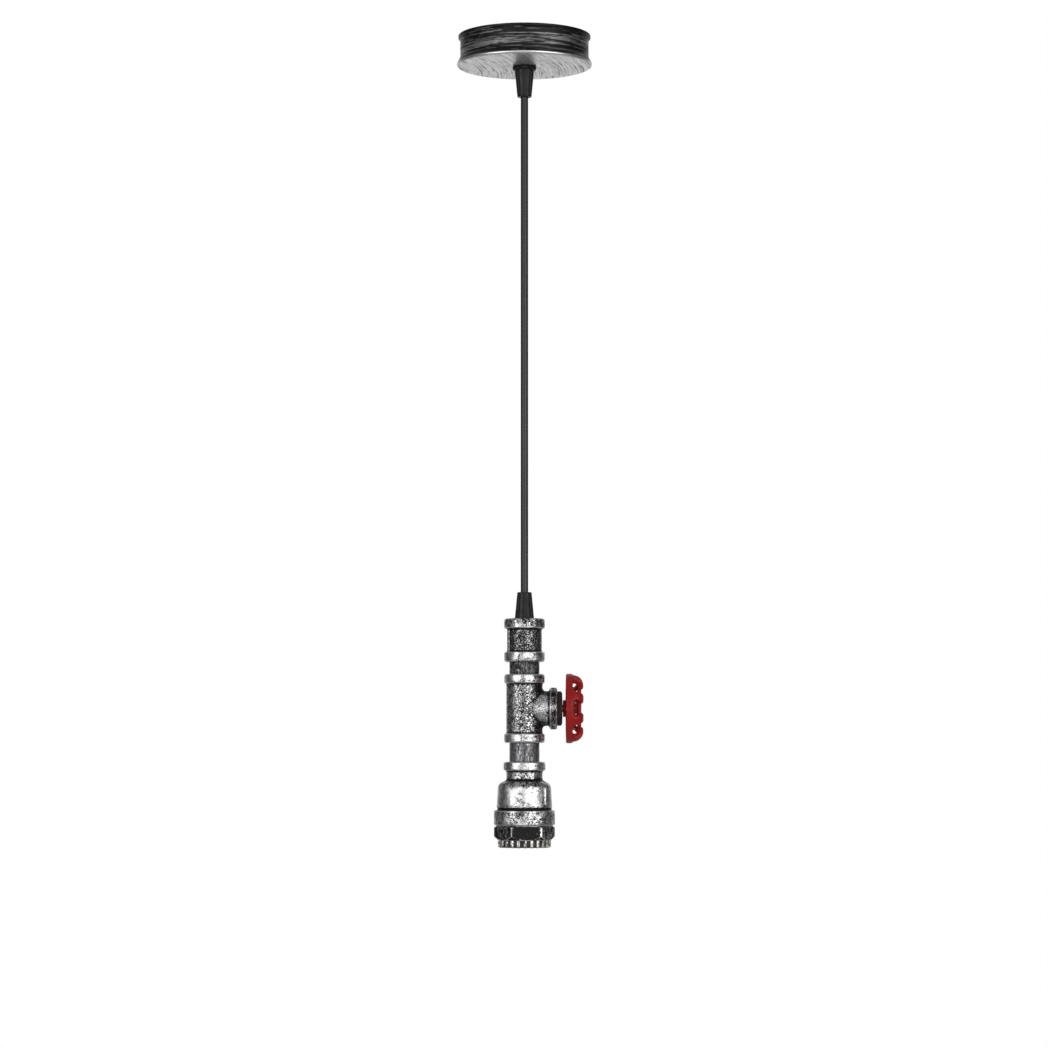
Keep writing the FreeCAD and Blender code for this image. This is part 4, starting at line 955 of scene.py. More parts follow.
class SkinTree:
    """The nodes that make a casting's skin uneven."""

    lump_gain: float = 2.5
    sunk: float = 0.9
    mark_gain: float = 4.0

    @classmethod
    @cache
    def get(cls) -> tuple[Tree, dict[str, str]]:
        """Builds the tree, the first time it is asked for.

        Returns:
            The tree, and the identifier of each named input.
        """
        tree = bpy.data.node_groups.new("casting_skin", "GeometryNodeTree")
        b = NodeBench(tree)
        sizes = ("Lump Size", "Unevenness", "Seed")
        kinds = {"Geometry": "Geometry", **dict.fromkeys(sizes, "Float")}
        sockets = name_sockets(tree, "INPUT", kinds)
        name_sockets(tree, "OUTPUT", {"Geometry": "Geometry"})
        entry = b.add("NodeGroupInput")
        place = b.add("GeometryNodeInputPosition")
        shift = b.add("ShaderNodeCombineXYZ", {0: entry.outputs["Seed"]})
        moved = b.add("ShaderNodeVectorMath", {0: place, 1: shift}, operation="ADD")
        scale = b.calc("DIVIDE", 1.0, entry.outputs["Lump Size"])
        lumps = b.calc("SUBTRACT", b.noise(moved, scale, 3.0, 0.6), 0.5)
        rise = b.times(b.times(lumps, cls.lump_gain), entry.outputs["Unevenness"])
        inward = b.calc("SUBTRACT", rise, b.times(entry.outputs["Unevenness"], cls.sunk))
        offset = b.add("ShaderNodeVectorMath", {0: b.add("GeometryNodeInputNormal")}, operation="SCALE")
        b.feed(offset.inputs["Scale"], inward)
        marked = b.add("GeometryNodeStoreNamedAttribute", data_type="FLOAT", domain="POINT")
        b.feed(marked.inputs["Geometry"], entry.outputs["Geometry"])
        b.feed(marked.inputs["Name"], "skin")
        b.feed(marked.inputs["Value"], b.times(lumps, cls.mark_gain))
        pushed = b.add("GeometryNodeSetPosition", {"Geometry": marked, "Offset": offset})
        whole = b.add("GeometryNodeRealizeInstances", {0: pushed})
        b.add("NodeGroupOutput", {"Geometry": whole})
        return tree, sockets


# Sub-assemblies


class SubAssembly:
    """What every sub-assembly can do with its nodes and pieces."""

    def finish(self, piece: Piece, body: Body, slot: Slot, *nodes: str) -> Piece:
        """Dresses a piece and puts it on its body.

        Args:
            piece: the piece, in place.
            body: what it moves with.
            slot: its finish.
            nodes: the nodes that it stands for.

        Returns:
            The piece.
        """
        piece.data.materials.clear()
        piece.data.materials.append(FINISHES[slot].build())
        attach(piece, body.value)
        if nodes:
            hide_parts(*nodes)
        LOG.info("%s: %d faces, %s", piece.name, len(piece.data.polygons), slot.value)
        return piece

    def dress(self, slot: Slot, *nodes: str) -> None:
        """Gives nodes that keep their own mesh a finish."""
        for node in nodes:
            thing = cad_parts[node]
            for place in thing.material_slots:
                place.material = FINISHES[slot].build()
            if not thing.material_slots:
                thing.data.materials.append(FINISHES[slot].build())
            LOG.info("%s: carried over, %s", node, slot.value)

    def smooth(self, node: str, body: Body, slot: Slot, angle: float = CRISP_ANGLE) -> Piece:
        """Stands a smoothly shaded copy in a node's place.

        Args:
            node: the node.
            body: what it moves with.
            slot: its finish.
            angle: faces that meet at more degrees than this keep a crisp edge.

        Returns:
            The copy.
        """
        piece = merged_copy(node, node + "_finish")
        self.crisp(piece, angle)
        return self.finish(piece, body, slot, node)

    def crisp(self, piece: Piece, angle: float = CRISP_ANGLE) -> None:
        """Shades a piece smoothly up to its crisp edges.

        Args:
            piece: the piece.
            angle: faces that meet at more degrees than this keep a crisp edge.
        """
        shade(piece.data, angle)
        weighted = piece.modifiers.new("weighted", "WEIGHTED_NORMAL")
        weighted.keep_sharp = True
        weighted.weight = FACE_WEIGHT
        settle(piece)

    def cast(self, node: str, body: Body, slot: Slot, skin: CastSkin) -> Piece:
        """Stands a casting in a node's place.

        Args:
            node: the node.
            body: what it moves with.
            slot: its finish.
            skin: how rough the casting is.

        Returns:
            The casting.
        """
        piece = merged_copy(node, node + "_casting")
        skin.apply(piece)
        places = mesh_points(piece.data) / MM
        write_mark(piece.data, "brushing_and_shade", self.brushing_and_shade(node, places))
        write_mark(piece.data, "calm", self.calm(node, places))
        return self.finish(piece, body, slot, node)

    def brushing_and_shade(self, node: str, places: np.ndarray) -> np.ndarray:
        """Says how much more or less silver the brush left on a casting, with light and shade painted
        in as more or less silver.

        Args:
            node: the node.
            places: its points in millimetres.

        Returns:
            What is added to the finish's coverage at each point.
        """
        return np.zeros(len(places))

    def calm(self, node: str, places: np.ndarray) -> np.ndarray:
        """Says where the silver is an even, sandy grain instead of patches.

        Args:
            node: the node.
            places: its points in millimetres.

        Returns:
            0 for patches and 1 for an even grain, at each point.
        """
        return np.zeros(len(places))


@dataclass
class CeilingRose(SubAssembly):
    """The cover on the ceiling, its bracket and the wiring in it."""

    edge_r: float = 61.1
    worn_width: float = 1.4
    bare_width: float = 0.5
    lip_z: float = -19.9
    lip_h: float = 5.4
    crisp_from: float = 40.0

    def build(self) -> None:
        """Builds and dresses everything above the cable."""
        cover = self.smooth("rose_cover", Body.ROOT, Slot.ROSE_PAINT, self.crisp_from)
        x, y, z = mesh_points(cover.data).T / MM
        inset = self.edge_r - np.hypot(x, y)
        lip = 1 - smooth_step(inset, self.bare_width, self.worn_width)
        write_mark(cover.data, "edge", lip * (z < self.lip_z - self.lip_h))
        self.smooth("rose_side_screws", Body.ROOT, Slot.ZINC_STEEL)
        self.dress(Slot.ZINC_STEEL, "ceiling_bracket", "earth_screw")
        self.dress(Slot.ZINC_STEEL, "terminal_screws", "terminal_block_screw")
        self.dress(Slot.BRASS, "terminal_inserts", "earth_tag")
        self.dress(Slot.BLOCK_NYLON, "terminal_block")
        self.dress(Slot.CORE_GREEN, "earth_link", "rose_core_earth")
        self.dress(Slot.CORE_BROWN, "rose_core_live")
        self.dress(Slot.CORE_BLUE, "rose_core_neutral")


@dataclass
class CordGrip(SubAssembly):
    """A cord grip: a castellated flange and a fluted, tapered cap."""

    side: str
    body: Body

    def build(self) -> None:
        """Builds and dresses the grip."""
        self.smooth(self.side + "_grip_body", self.body, Slot.GRIP_BLACK)
        self.smooth(self.side + "_grip_cap", self.body, Slot.GRIP_BLACK)
        self.dress(Slot.ZINC_STEEL, self.side + "_grip_washer", self.side + "_grip_nut")


@dataclass
class SuspensionCable(SubAssembly):
    """The cable from grip to grip, and its ends inside the rose and the pipe."""

    diameter: float = 0.0067
    top_z: float = -0.0555
    foot_z: float = -0.5030
    tuck: float = 0.003
    bend_length: float = 0.013
    bend_ring: float = 0.001
    middle_z: Triple = (-0.1675, -0.2795, -0.3915)
    steps: int = 24
    sides: int = 28
    crisp_from: float = 50.0

    def route(self) -> list[Triple]:
        """Returns the points of the cable's own line, from the upper grip down."""
        return [(0.0, 0.0, z) for z in (self.top_z, *self.middle_z, self.foot_z)]

    def line(self) -> list[Vector]:
        """Reads points along the cable's smooth line.

        Returns:
            The points, from top to foot.
        """
        curve = bpy.data.curves.new("cable_line", "CURVE")
        curve.dimensions = "3D"
        curve.resolution_u = self.steps
        spline = curve.splines.new("NURBS")
        route = self.route()
        spline.points.add(len(route) - 1)
        for point, place in zip(spline.points, route):
            point.co = (*place, 1.0)
        spline.order_u = 3
        spline.use_endpoint_u = True
        carrier = add_object("cable_line", curve)
        mesh = shown_mesh(carrier)
        points = [v.co.copy() for v in mesh.vertices]
        bpy.data.objects.remove(carrier)
        bpy.data.meshes.remove(mesh)
        return sorted(points, key=lambda p: -p.z)

    def tube(self, centres: list[Vector]) -> Mesh:
        """Wraps a round sheath on a line that runs down.

        Args:
            centres: the line's points.

        Returns:
            The closed tube.
        """
        work = bmesh.new()
        rings = []
        for centre in centres:
            ring = []
            for index in range(self.sides):
                angle = math.tau * index / self.sides
                offset = Vector((math.cos(angle), math.sin(angle), 0)) * self.diameter / 2
                ring.append(work.verts.new(centre + offset))
            rings.append(ring)
        for upper, lower in zip(rings, rings[1:]):
            for index in range(self.sides):
                after = (index + 1) % self.sides
                work.faces.new((upper[index], lower[index], lower[after], upper[after]))
        work.faces.new(rings[0])
        work.faces.new(rings[-1][::-1])
        bmesh.ops.recalc_face_normals(work, faces=work.faces)
        return mesh_from(work, "cable_sheath")

    def build(self) -> None:
        """Builds the free cable and dresses its hidden ends."""
        centres = self.line()
        bend_start = self.top_z + self.tuck
        count = round((self.tuck + self.bend_length) / self.bend_ring)
        bend = [Vector((0, 0, bend_start - k * self.bend_ring)) for k in range(count + 1)]
        below = [p for p in centres if p.z < bend[-1].z - self.bend_ring]
        mesh = self.tube(bend + below)
        shade(mesh, self.crisp_from)
        cable = add_object("cable_sheath", mesh)
        mesh.materials.append(FINISHES[Slot.CABLE_BLACK].build())
        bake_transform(cable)
        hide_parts("cable_drop")
        LOG.info("cable_sheath: %d faces, cable_black", len(mesh.polygons))
        self.dress(Slot.CABLE_BLACK, "cable_in_rose", "cable_in_pipe")
        self.dress(Slot.CORE_BROWN, "core_live")
        self.dress(Slot.CORE_BLUE, "core_neutral")
        self.dress(Slot.CORE_GREEN, "core_earth")


@dataclass
class PipeRun(SubAssembly):
    """The coupling, the tee and the two nipples."""

    body_r: float = 15.9
    branch_r: float = 15.6
    band_r: float = 17.2
    tee_top: float = -576.1
    tee_foot: float = -637.6
    band_h: float = 8.4
    band_start: float = 0.7
    corner_out: float = 0.3
    branch_z: float = -606.85
    branch_band_x: float = 22.6
    coupling_middle: float = -546.0
    coupling_silver: float = -0.065
    coupling_band: float = 0.045
    lower_band: float = 0.07
    upper_nipple_silver: float = -0.05
    lower_nipple_silver: float = 0.04
    tee_silver: float = -0.02
    tee_band: float = 0.1
    branch_band_shade: float = 0.03
    branch_band_rise: Pair = (15.9, 17.6)
    neck_rise: Pair = (4.0, 12.0)
    neck_fall: Pair = (8.0, 15.0)
    seam_fall: Pair = (0.5, 1.6)
    seam_rise_x: Pair = (3.0, 7.0)
    seam_rise_z: Pair = (3.0, 9.0)
    # painted light and shade: the front of the branch's neck gets more silver along its middle and less
    # above and below it, and less along the seam
    neck_painted_light: float = 0.075
    neck_painted_shade: float = 0.17
    seam_painted_shade: float = 0.13

    def brushing_and_shade(self, node: str, places: np.ndarray) -> np.ndarray:
        """More silver on the bands and less on the branch, painted light on the front of the branch's
        neck, and painted shade above and below it and along the seam, see SubAssembly.
        """
        x, y, z = places.T
        radius = np.hypot(x, y)
        if node == "pipe_coupling":
            band = smooth_step(radius, self.body_r, self.band_r)
            band *= self.coupling_band + self.lower_band * (z < self.coupling_middle)
            return self.coupling_silver + band
        if node == "upper_nipple":
            return np.full(len(places), self.upper_nipple_silver)
        if node == "lower_nipple":
            return np.full(len(places), self.lower_nipple_silver)
        near_end = (z > self.tee_top - self.band_h) | (z < self.tee_foot + self.band_h)
        bands = smooth_step(radius, self.body_r + self.band_start, self.band_r) * near_end
        around_branch = np.hypot(y, z - self.branch_z)
        branch = smooth_step(around_branch, *self.branch_band_rise) * (x > self.branch_band_x)
        away = np.abs(z - self.branch_z)
        # painted light and shade on the neck's front: more silver along its middle, less above and
        # below it
        neck = smooth_step(x, *self.neck_rise) * (x < self.branch_band_x) * (y < 0)
        neck *= self.neck_painted_light - self.neck_painted_shade * smooth_step(away, *self.neck_fall)
        # painted shade: less silver along the seam where the branch meets the body
        off_body = np.abs(radius - self.body_r - self.corner_out)
        off_seam = np.maximum(off_body, np.abs(around_branch - self.branch_r))
        seam = 1 - smooth_step(off_seam, *self.seam_fall)
        seam *= smooth_step(x, *self.seam_rise_x) * smooth_step(away, *self.seam_rise_z)
        silver = self.tee_silver + self.tee_band * bands + neck
        return silver - self.branch_band_shade * branch - self.seam_painted_shade * seam

    def calm(self, node: str, places: np.ndarray) -> np.ndarray:
        """Gives the bodies of the coupling and the tee a sandy grain, see SubAssembly."""
        if node not in ("pipe_coupling", "pipe_tee"):
            return np.zeros(len(places))
        x, y, z = places.T
        across = np.hypot(x, y)
        around_branch = np.hypot(y, z - self.branch_z)
        radius = np.where((node == "pipe_tee") & (x > 0), np.minimum(across, around_branch), across)
        return 1 - smooth_step(radius, self.body_r + self.corner_out, self.band_r)

    def build(self) -> None:
        """Builds the run."""
        for fitting, seed in (("pipe_coupling", 0.3), ("pipe_tee", 0.7)):
            skin = CastSkin(seed=seed, unevenness_mm=0.035)
            self.cast(fitting, Body.PENDANT, Slot.CAST_PEWTER, skin)
        skin = CastSkin(voxel_mm=0.5, unevenness_mm=0.05)
        for nipple in ("upper_nipple", "lower_nipple"):
            self.cast(nipple, Body.PENDANT, Slot.NIPPLE_PEWTER, skin)
        self.smooth("top_plug", Body.PENDANT, Slot.CAST_PEWTER)


@dataclass
class BellEnd(SubAssembly):
    """The bell reducer, its hexagon bushing and the toothed ring."""

    neck_band_r: float = 17.4
    neck_band_foot: float = -661.8
    neck_foot: float = -670.6
    lip_top: float = -697.4
    lip_foot: float = -710.8
    groove_h: float = 1.8
    hexagon_foot: float = -724.0
    lip_r: float = 26.2
    corner_r: float = 27.4
    ring_r: float = 23.6
    ring_inner_r: float = 18.22
    groove_r: float = 22.2
    ring_top_z: float = -724.0
    ring_foot_z: float = -730.6
    teeth: int = 24
    tooth_width: float = 2.8
    first_tooth: float = 1.5
    tooth_root: float = 0.5
    tooth_overlap: float = 0.2
    tooth_slope: Pair = (1.1, 1.3)
    tooth_rounding: float = 0.5
    tooth_silver: float = 0.2
    hoop_rounding: float = 0.4
    hoop_sides: int = 144
    rounding_steps: int = 3
    crisp_from: float = 50.0
    hoop_rise: float = 0.3
    hexagon_half_h: float = 6.6
    hexagon_ends: Pair = (5.4, 6.4)
    hexagon_front: Pair = (0.8, 0.9)
    crease_fall: Pair = (0.4, 1.6)
    shoulder_h: float = 4.0
    fringe_h: float = 5.5
    fade: float = 5.0
    hexagon_silver: float = -0.06
    # painted shade on the hexagon's facets that face -Y
    hexagon_front_painted_shade: float = 0.12
    hexagon_edge: float = 0.14
    bell_silver: float = 0.01
    band_silver: float = 0.07
    side_silver: float = 0.085
    lip_shade: float = 0.08
    crease_shade: float = 0.22
    groove_shade: float = 0.2
    fringe_shade: float = 0.16

    def brushing_and_shade(self, node: str, places: np.ndarray) -> np.ndarray:
        """Leaves most silver on the neck band and the bell's side and less at the lip, the crease, the
        groove and just above it, with painted shade on the hexagon's front facets, see SubAssembly.
        """
        x, y, z = places.T
        radius = np.hypot(x, y)
        if node != "bell_reducer":
            corner = smooth_step(radius, self.corner_r - 1.2, self.corner_r - 0.2)
            ends = smooth_step(np.abs(z - self.hexagon_foot - self.hexagon_half_h), *self.hexagon_ends)
            ends *= z < self.lip_foot - 2
            # painted shade: the hexagon's facets that face -Y get less silver
            front = smooth_step(-y / radius, *self.hexagon_front)
            edges = self.hexagon_edge * np.maximum(corner, ends)
            return self.hexagon_silver - self.hexagon_front_painted_shade * front + edges
        band = smooth_step(radius, self.neck_band_r, self.neck_band_r + 0.8)
        band *= z > self.neck_band_foot
        crease = 1 - smooth_step(np.abs(z - self.neck_foot), *self.crease_fall)
        groove_z = self.lip_top + self.groove_h / 2
        groove = 1 - smooth_step(np.abs(z - groove_z), self.groove_h / 2, self.groove_h)
        side = smooth_step(self.neck_foot - self.shoulder_h - z, 0.0, self.fade)
        lip = smooth_step(radius, self.lip_r, self.lip_r + 0.6)
        fringe = smooth_step(self.lip_top + self.fringe_h - z, 0.0, self.fade) * (z > self.lip_top)
        silver = self.bell_silver + self.band_silver * band + self.side_silver * side
        shade_there = self.lip_shade * lip + self.crease_shade * crease
        return silver - shade_there - self.groove_shade * groove - self.fringe_shade * fringe

    def calm(self, node: str, places: np.ndarray) -> np.ndarray:
        """Gives the bell's neck a sandy grain, see SubAssembly."""
        if node != "bell_reducer":
            return np.zeros(len(places))
        return smooth_step(places[:, 2], self.neck_foot - 1.0, self.neck_foot)

    def tooth(self) -> Mesh:
        """Makes one rounded tooth, standing at +X.

        Returns:
            The tooth's mesh in metres.
        """
        half = self.tooth_width / 2
        root = self.groove_r - self.tooth_root
        head = self.ring_top_z + self.tooth_overlap
        inset, rise = self.tooth_slope
        outline = [
            (root, head),
            (root, self.ring_foot_z + 0.05),
            (self.ring_r - inset, self.ring_foot_z),
            (self.ring_r, self.ring_foot_z + rise),
            (self.ring_r, head),
        ]
        work = bmesh.new()
        sides = [[work.verts.new(Vector((r, y, z)) * MM) for r, z in outline] for y in (-half, half)]
        work.faces.new(sides[0])
        work.faces.new(sides[1][::-1])
        count = len(outline)
        for index in range(count):
            after = (index + 1) % count
            work.faces.new((sides[0][after], sides[0][index], sides[1][index], sides[1][after]))
        bmesh.ops.recalc_face_normals(work, faces=work.faces)
        inside = (self.groove_r + 0.1) * MM
        rounded = [e for e in work.edges if all(v.co.x > inside for v in e.verts)]
        bmesh.ops.bevel(
            work,
            geom=rounded,
            offset=self.tooth_rounding * MM,
            segments=self.rounding_steps,
            profile=0.5,
            affect="EDGES",
        )
        mesh = mesh_from(work, "ring_tooth")
        shade(mesh, self.crisp_from)
        return mesh

    def ring_tree(self) -> tuple[Tree, dict[str, str]]:
        """Builds the nodes that set teeth round a ring.

        Returns:
            The tree, and the identifier of each named input.
        """
        tree = bpy.data.node_groups.new("toothed_ring", "GeometryNodeTree")
        b = NodeBench(tree)
        sizes = ("First Angle", "Inner Radius", "Groove Radius", "Top", "Foot")
        kinds = {"Tooth": "Geometry", "Teeth": "Int", "Finish": "Material"}
        kinds |= dict.fromkeys(sizes, "Float")
        sockets = name_sockets(tree, "INPUT", kinds)
        name_sockets(tree, "OUTPUT", {"Geometry": "Geometry"})
        entry = b.add("NodeGroupInput")
        points = b.add("GeometryNodeMeshLine", {"Count": entry.outputs["Teeth"]})
        b.feed(points.inputs["Offset"], (0.0, 0.0, 0.0))
        index = b.add("GeometryNodeInputIndex")
        share = b.calc("DIVIDE", math.tau, entry.outputs["Teeth"])
        turn = b.calc("ADD", b.times(index, share), entry.outputs["First Angle"])
        angles = b.add("ShaderNodeCombineXYZ", {2: turn})
        feeds = {"Points": points, "Instance": entry.outputs["Tooth"], "Rotation": angles}
        teeth = b.add("GeometryNodeInstanceOnPoints", feeds)
        silver = b.add("GeometryNodeStoreNamedAttribute", data_type="FLOAT", domain="POINT")
        b.feed(silver.inputs["Geometry"], b.add("GeometryNodeRealizeInstances", {0: teeth}))
        b.feed(silver.inputs["Name"], "brushing_and_shade")
        b.feed(silver.inputs["Value"], self.tooth_silver)
        inner, outer = entry.outputs["Inner Radius"], entry.outputs["Groove Radius"]
        top, foot = entry.outputs["Top"], entry.outputs["Foot"]
        middle = b.times(b.calc("ADD", inner, outer), 0.5)
        wide = b.calc("SUBTRACT", outer, inner)
        high = b.calc("SUBTRACT", top, foot)
        level = b.times(b.calc("ADD", top, foot), 0.5)
        feeds = {"Resolution": self.hoop_sides, "Radius": middle}
        path = b.add("GeometryNodeCurvePrimitiveCircle", feeds)
        profile = b.add("GeometryNodeCurvePrimitiveQuadrilateral", {0: wide, 1: high})
        feeds = {"Curve": profile, "Radius": self.hoop_rounding * MM}
        rounded = b.add("GeometryNodeFilletCurve", feeds)
        rounded.mode = "POLY"
        b.feed(rounded.inputs["Count"], self.rounding_steps)
        hoop = b.add("GeometryNodeCurveToMesh", {"Curve": path, "Profile Curve": rounded})
        lowered = b.add("GeometryNodeTransform", {"Geometry": hoop})
        b.feed(lowered.inputs["Translation"], b.add("ShaderNodeCombineXYZ", {2: level}))
        both = b.add("GeometryNodeJoinGeometry", {0: lowered})
        b.feed(both.inputs[0], silver)
        whole = b.add("GeometryNodeRealizeInstances", {0: both})
        feeds = {"Geometry": whole, "Material": entry.outputs["Finish"]}
        coated = b.add("GeometryNodeSetMaterial", feeds)
        b.add("NodeGroupOutput", {"Geometry": coated})
        return tree, sockets

    def ring(self) -> Piece:
        """Builds the toothed ring.

        Returns:
            The ring.
        """
        piece = add_object("toothed_ring", self.tooth())
        tree, sockets = self.ring_tree()
        nodes = piece.modifiers.new("ring", "NODES")
        nodes.node_group = tree
        given = {
            "Teeth": self.teeth,
            "First Angle": math.radians(self.first_tooth),
            "Inner Radius": self.ring_inner_r * MM,
            "Groove Radius": self.groove_r * MM,
            "Top": self.ring_top_z * MM,
            "Foot": (self.ring_foot_z + self.hoop_rise) * MM,
            "Finish": FINISHES[Slot.RING_PEWTER].build(),
        }
        for name, value in given.items():
            nodes[sockets[name]] = value
        settle(piece)
        return self.finish(piece, Body.PENDANT, Slot.RING_PEWTER, "shade_ring")

    def build(self) -> None:
        """Builds the lower end of the light."""
        bell_skin = CastSkin(voxel_mm=0.5, seed=1.1, unevenness_mm=0.07)
        hexagon_skin = CastSkin(voxel_mm=0.38, passes=2, seed=1.9)
        self.cast("bell_reducer", Body.PENDANT, Slot.CAST_PEWTER, bell_skin)
        self.cast("hex_bushing", Body.PENDANT, Slot.CAST_PEWTER, hexagon_skin)
        self.ring()


@dataclass
class LampHolder(SubAssembly):
    """The holder inside the bell: skirt, cap, porcelain and contacts."""

    wall_r: float = 12.9
    pitch: float = 3.63
    thread_depth: float = 1.1
    slice_h: float = 0.2
    run_out: float = 1.4
    crisp_from: float = 50.0

    def roll_thread(self, piece: Piece) -> None:
        """Rolls the lamp's thread into the plain wall of the screw shell.

        Args:
            piece: a merged copy of the shell.
        """
        places = mesh_points(piece.data) / MM
        wall = places[np.hypot(places[:, 0], places[:, 1]) > self.wall_r]
        foot, head = wall[:, 2].min(), wall[:, 2].max()
        work = bmesh.new()
        work.from_mesh(piece.data)
        for height in np.arange(foot + self.slice_h, head - self.slice_h, self.slice_h):
            whole = work.verts[:] + work.edges[:] + work.faces[:]
            centre = (0.0, 0.0, float(height) * MM)
            bmesh.ops.bisect_plane(work, geom=whole, plane_co=centre, plane_no=(0, 0, 1), dist=1e-7)
        work.to_mesh(piece.data)
        work.free()
        places = mesh_points(piece.data) / MM
        x, y, z = places.T
        radius = np.hypot(x, y)
        fade = smooth_step(z - foot, 0, self.run_out) * smooth_step(head - z, 0, self.run_out)
        wave = 0.5 - 0.5 * np.cos(math.tau * z / self.pitch - np.arctan2(y, x))
        inward = self.thread_depth * wave * fade * (radius > self.wall_r)
        places[:, :2] *= (1 - inward / np.maximum(radius, 1e-6))[:, None]
        piece.data.vertices.foreach_set("co", (places * MM).astype(np.float32).ravel())
        piece.data.update()

    def build(self) -> None:
        """Builds the holder."""
        self.smooth("holder_skirt", Body.PENDANT, Slot.PHENOLIC)
        self.smooth("holder_insulator", Body.PENDANT, Slot.PORCELAIN)
        shell = merged_copy("screw_shell", "screw_shell_rolled")
        self.roll_thread(shell)
        self.crisp(shell, self.crisp_from)
        self.finish(shell, Body.PENDANT, Slot.SHELL_BRASS, "screw_shell")
        self.dress(Slot.ZINC_STEEL, "holder_cap", "holder_terminal_screws")
        self.dress(Slot.BRASS, "centre_contact", "contact_rivets", "holder_terminals")


@dataclass
class ValveWheel(SubAssembly):
    """The bonnet in the tee's branch, the spindle and the red handwheel."""

    bonnet_dark: float = -0.13

    def brushing_and_shade(self, node: str, places: np.ndarray) -> np.ndarray:
        """Leaves the bonnet mostly black, see SubAssembly."""
        return np.full(len(places), self.bonnet_dark)

    def build(self) -> None:
        """Builds the wheel and what it turns in."""
        bonnet_skin = CastSkin(voxel_mm=0.35, passes=2, seed=2.3)
        collar_skin = CastSkin(voxel_mm=0.25, passes=2, seed=2.9)
        wheel_skin = CastSkin(voxel_mm=0.42, passes=2, seed=3.1)
        self.cast("branch_bonnet", Body.PENDANT, Slot.RING_PEWTER, bonnet_skin)
        self.cast("spindle_collar", Body.WHEEL, Slot.RED_PAINT, collar_skin)
        self.cast("handwheel", Body.WHEEL, Slot.RED_PAINT, wheel_skin)
        self.smooth("wheel_screw", Body.WHEEL, Slot.ZINC_STEEL)
        self.smooth("wheel_washer", Body.WHEEL, Slot.ZINC_STEEL)
        self.dress(Slot.FIBRE, "spindle_washer")
        self.dress(Slot.ZINC_STEEL, "valve_spindle", "collar_set_screw")


# Studio


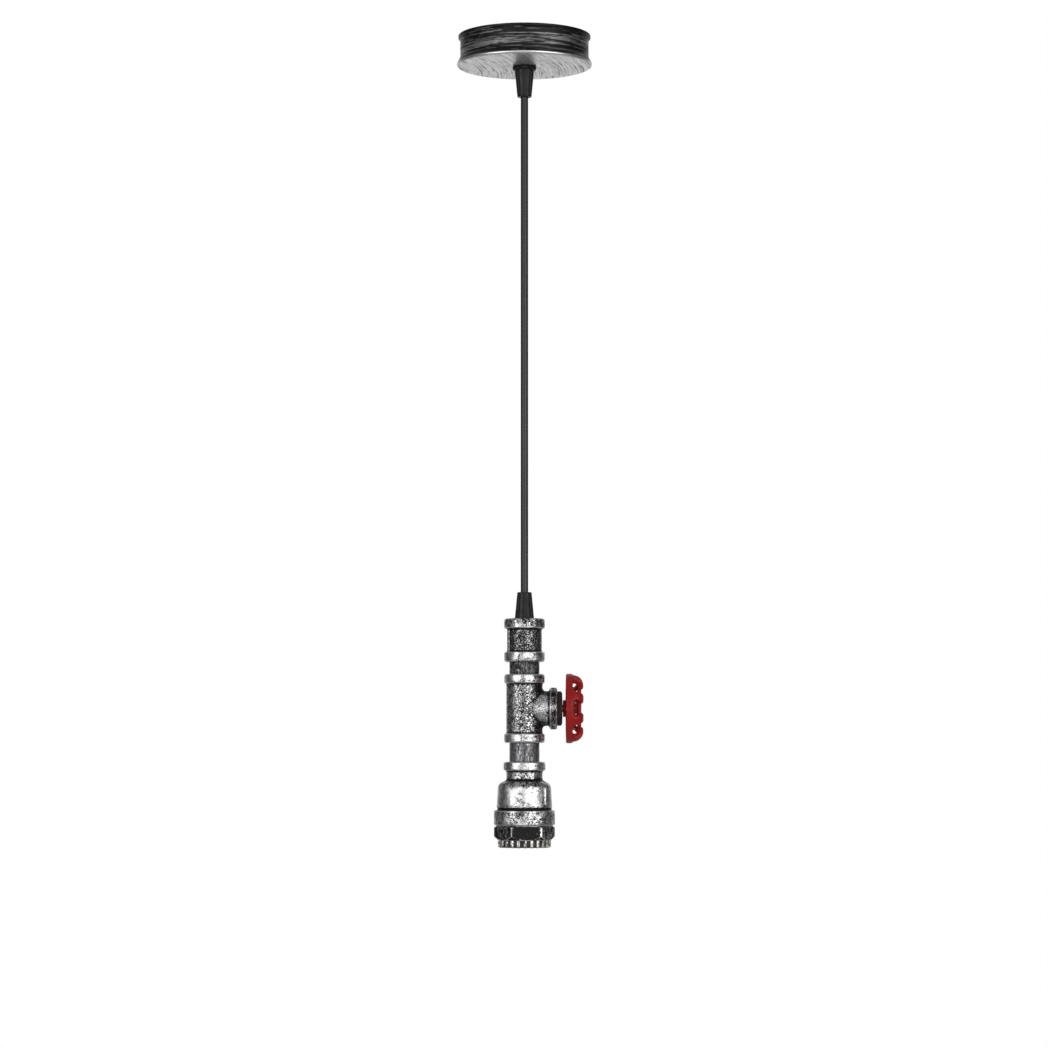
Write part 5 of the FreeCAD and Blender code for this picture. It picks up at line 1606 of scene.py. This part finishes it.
@dataclass
class Studio:
    """The camera, the lamps, the white surround and the pale floor."""

    eye: Triple = (-0.0004, -3.0, -0.6365)
    aim: Triple = (-0.0004, 0.0, -0.4418)
    view_angle: float = 17.75
    sensor: float = 36.0
    lamp_distance: float = 2.2
    left_lamp: Triple = (-43.0, 1.30, 20.0)
    right_lamp: Triple = (39.0, 1.75, 27.0)
    lamp_height: float = 1.6
    lamp_z: float = -0.35
    lamp_aim_z: float = -0.42
    behind_mirrored: Triple = (0.6, 0.95, 0.8)
    front_mirrored: Triple = (0.84, 0.98, 0.9)
    above_mirrored: Triple = (0.25, 0.9, 0.3)
    least_mirrored: float = 0.03
    behind_lit: Triple = (0.1, 0.9, 0.55)
    above_lit: Triple = (-0.5, 0.5, 0.14)
    least_lit: float = 0.14
    floor_z: float = -2.4
    floor_r: float = 3.0
    floor_sides: int = 96
    floor_pale: Colour = (0.84, 0.84, 0.84, 1.0)
    floor_grey: Colour = (0.80, 0.80, 0.80, 1.0)
    floor_mirrored: float = 0.3

    def camera(self) -> None:
        """Sets the camera where the photograph was taken from."""
        lens = bpy.data.cameras.new("photo_camera")
        lens.sensor_width = self.sensor
        lens.lens = self.sensor / 2 / math.tan(math.radians(self.view_angle) / 2)
        camera = add_object("photo_camera", lens)
        self.point(camera, Vector(self.eye), Vector(self.aim))
        bpy.context.scene.camera = camera

    def point(self, thing: Piece, place: Vector, aim: Vector) -> None:
        """Puts a camera or lamp in its place and points it at its aim."""
        thing.location = place
        thing.rotation_euler = (aim - place).to_track_quat("-Z", "Y").to_euler()

    def lamp(self, name: str, angle: float, width: float, power: float) -> None:
        """Adds a soft box that faces the light.

        Args:
            name: the lamp's name.
            angle: degrees from the camera's side, towards +X.
            width: its width.
            power: its watts.
        """
        light = bpy.data.lights.new(name, "AREA")
        light.shape = "RECTANGLE"
        light.size, light.size_y = width, self.lamp_height
        light.energy = power
        lamp = add_object(name, light)
        lamp.visible_camera = False
        turn = math.radians(angle)
        x, y = self.lamp_distance * math.sin(turn), -self.lamp_distance * math.cos(turn)
        self.point(lamp, Vector((x, y, self.lamp_z)), Vector((0, 0, self.lamp_aim_z)))

    def surround(self) -> None:
        """Sets a white surround that lights the object only a little."""
        world = bpy.data.worlds.new("studio")
        world.use_nodes = True
        bpy.context.scene.world = world
        b = NodeBench(world.node_tree)
        rays = b.add("ShaderNodeLightPath")
        seen = b.calc("MAXIMUM", rays.outputs["Is Camera Ray"], rays.outputs["Is Transmission Ray"])
        seen = b.calc("MAXIMUM", seen, rays.outputs["Is Glossy Ray"])
        towards = b.add("ShaderNodeTexCoord").outputs["Generated"]
        direction = b.add("ShaderNodeSeparateXYZ", {0: towards})
        back, up = direction.outputs["Y"], direction.outputs["Z"]
        behind = b.step(back, *self.behind_mirrored)
        front = b.step(b.times(back, -1.0), *self.front_mirrored)
        above = b.step(up, *self.above_mirrored)
        mirrored = b.calc("MINIMUM", b.total(behind, front, above, self.least_mirrored), 1.0)
        plain = b.calc("SUBTRACT", 1.0, rays.outputs["Is Glossy Ray"])
        shown = b.total(plain, b.times(mirrored, rays.outputs["Is Glossy Ray"]))
        diffuse = b.total(b.step(back, *self.behind_lit), b.step(up, *self.above_lit), self.least_lit)
        lit = b.add("ShaderNodeBackground", {"Color": (1, 1, 1, 1), "Strength": diffuse})
        white = b.add("ShaderNodeBackground", {"Color": (1, 1, 1, 1), "Strength": shown})
        mixed = b.add("ShaderNodeMixShader", {0: seen, 1: lit, 2: white})
        b.add("ShaderNodeOutputWorld", {"Surface": mixed})

    def floor(self) -> None:
        """Lays a pale round floor, seen only from above."""
        work = bmesh.new()
        bmesh.ops.create_circle(work, cap_ends=True, segments=self.floor_sides, radius=self.floor_r)
        for vert in work.verts:
            vert.co.z = self.floor_z
        mesh = mesh_from(work, "studio_floor")
        floor = add_object("studio_floor", mesh)
        material = bpy.data.materials.new("studio_floor")
        material.use_nodes = True
        b = NodeBench(material.node_tree)
        rays = b.add("ShaderNodeLightPath")
        tone = b.noise(b.add("ShaderNodeTexCoord").outputs["Object"], 2.0, 2.0)
        colour = b.tint(tone, self.floor_pale, self.floor_grey)
        matt = b.add("ShaderNodeBsdfDiffuse", {"Color": colour})
        bright = b.add("ShaderNodeEmission", {"Color": (1, 1, 1, 1), "Strength": self.floor_mirrored})
        mirrored = b.calc("MAXIMUM", rays.outputs["Is Glossy Ray"], rays.outputs["Is Transmission Ray"])
        top = b.add("ShaderNodeMixShader", {0: mirrored, 1: matt, 2: bright})
        back = b.add("ShaderNodeNewGeometry").outputs["Backfacing"]
        clear = b.add("ShaderNodeBsdfTransparent")
        shown = b.add("ShaderNodeMixShader", {0: back, 1: top, 2: clear})
        b.add("ShaderNodeOutputMaterial", {"Surface": shown})
        mesh.materials.append(material)

    def build(self) -> None:
        """Builds the studio."""
        self.camera()
        self.lamp("soft_box_left", *self.left_lamp)
        self.lamp("soft_box_right", *self.right_lamp)
        self.surround()
        self.floor()
        bpy.context.scene.view_settings.view_transform = "Standard"


def main() -> None:
    """Builds the studio and every sub-assembly."""
    logging.basicConfig(level=logging.INFO, format="%(message)s", stream=sys.stdout)
    Studio().build()
    assemblies = [
        SuspensionCable(),
        CeilingRose(),
        CordGrip("upper", Body.ROOT),
        CordGrip("lower", Body.PENDANT),
        PipeRun(),
        BellEnd(),
        LampHolder(),
        ValveWheel(),
    ]
    for assembly in assemblies:
        LOG.info("%s", type(assembly).__name__)
        assembly.build()


if __name__ == "__main__":
    main()
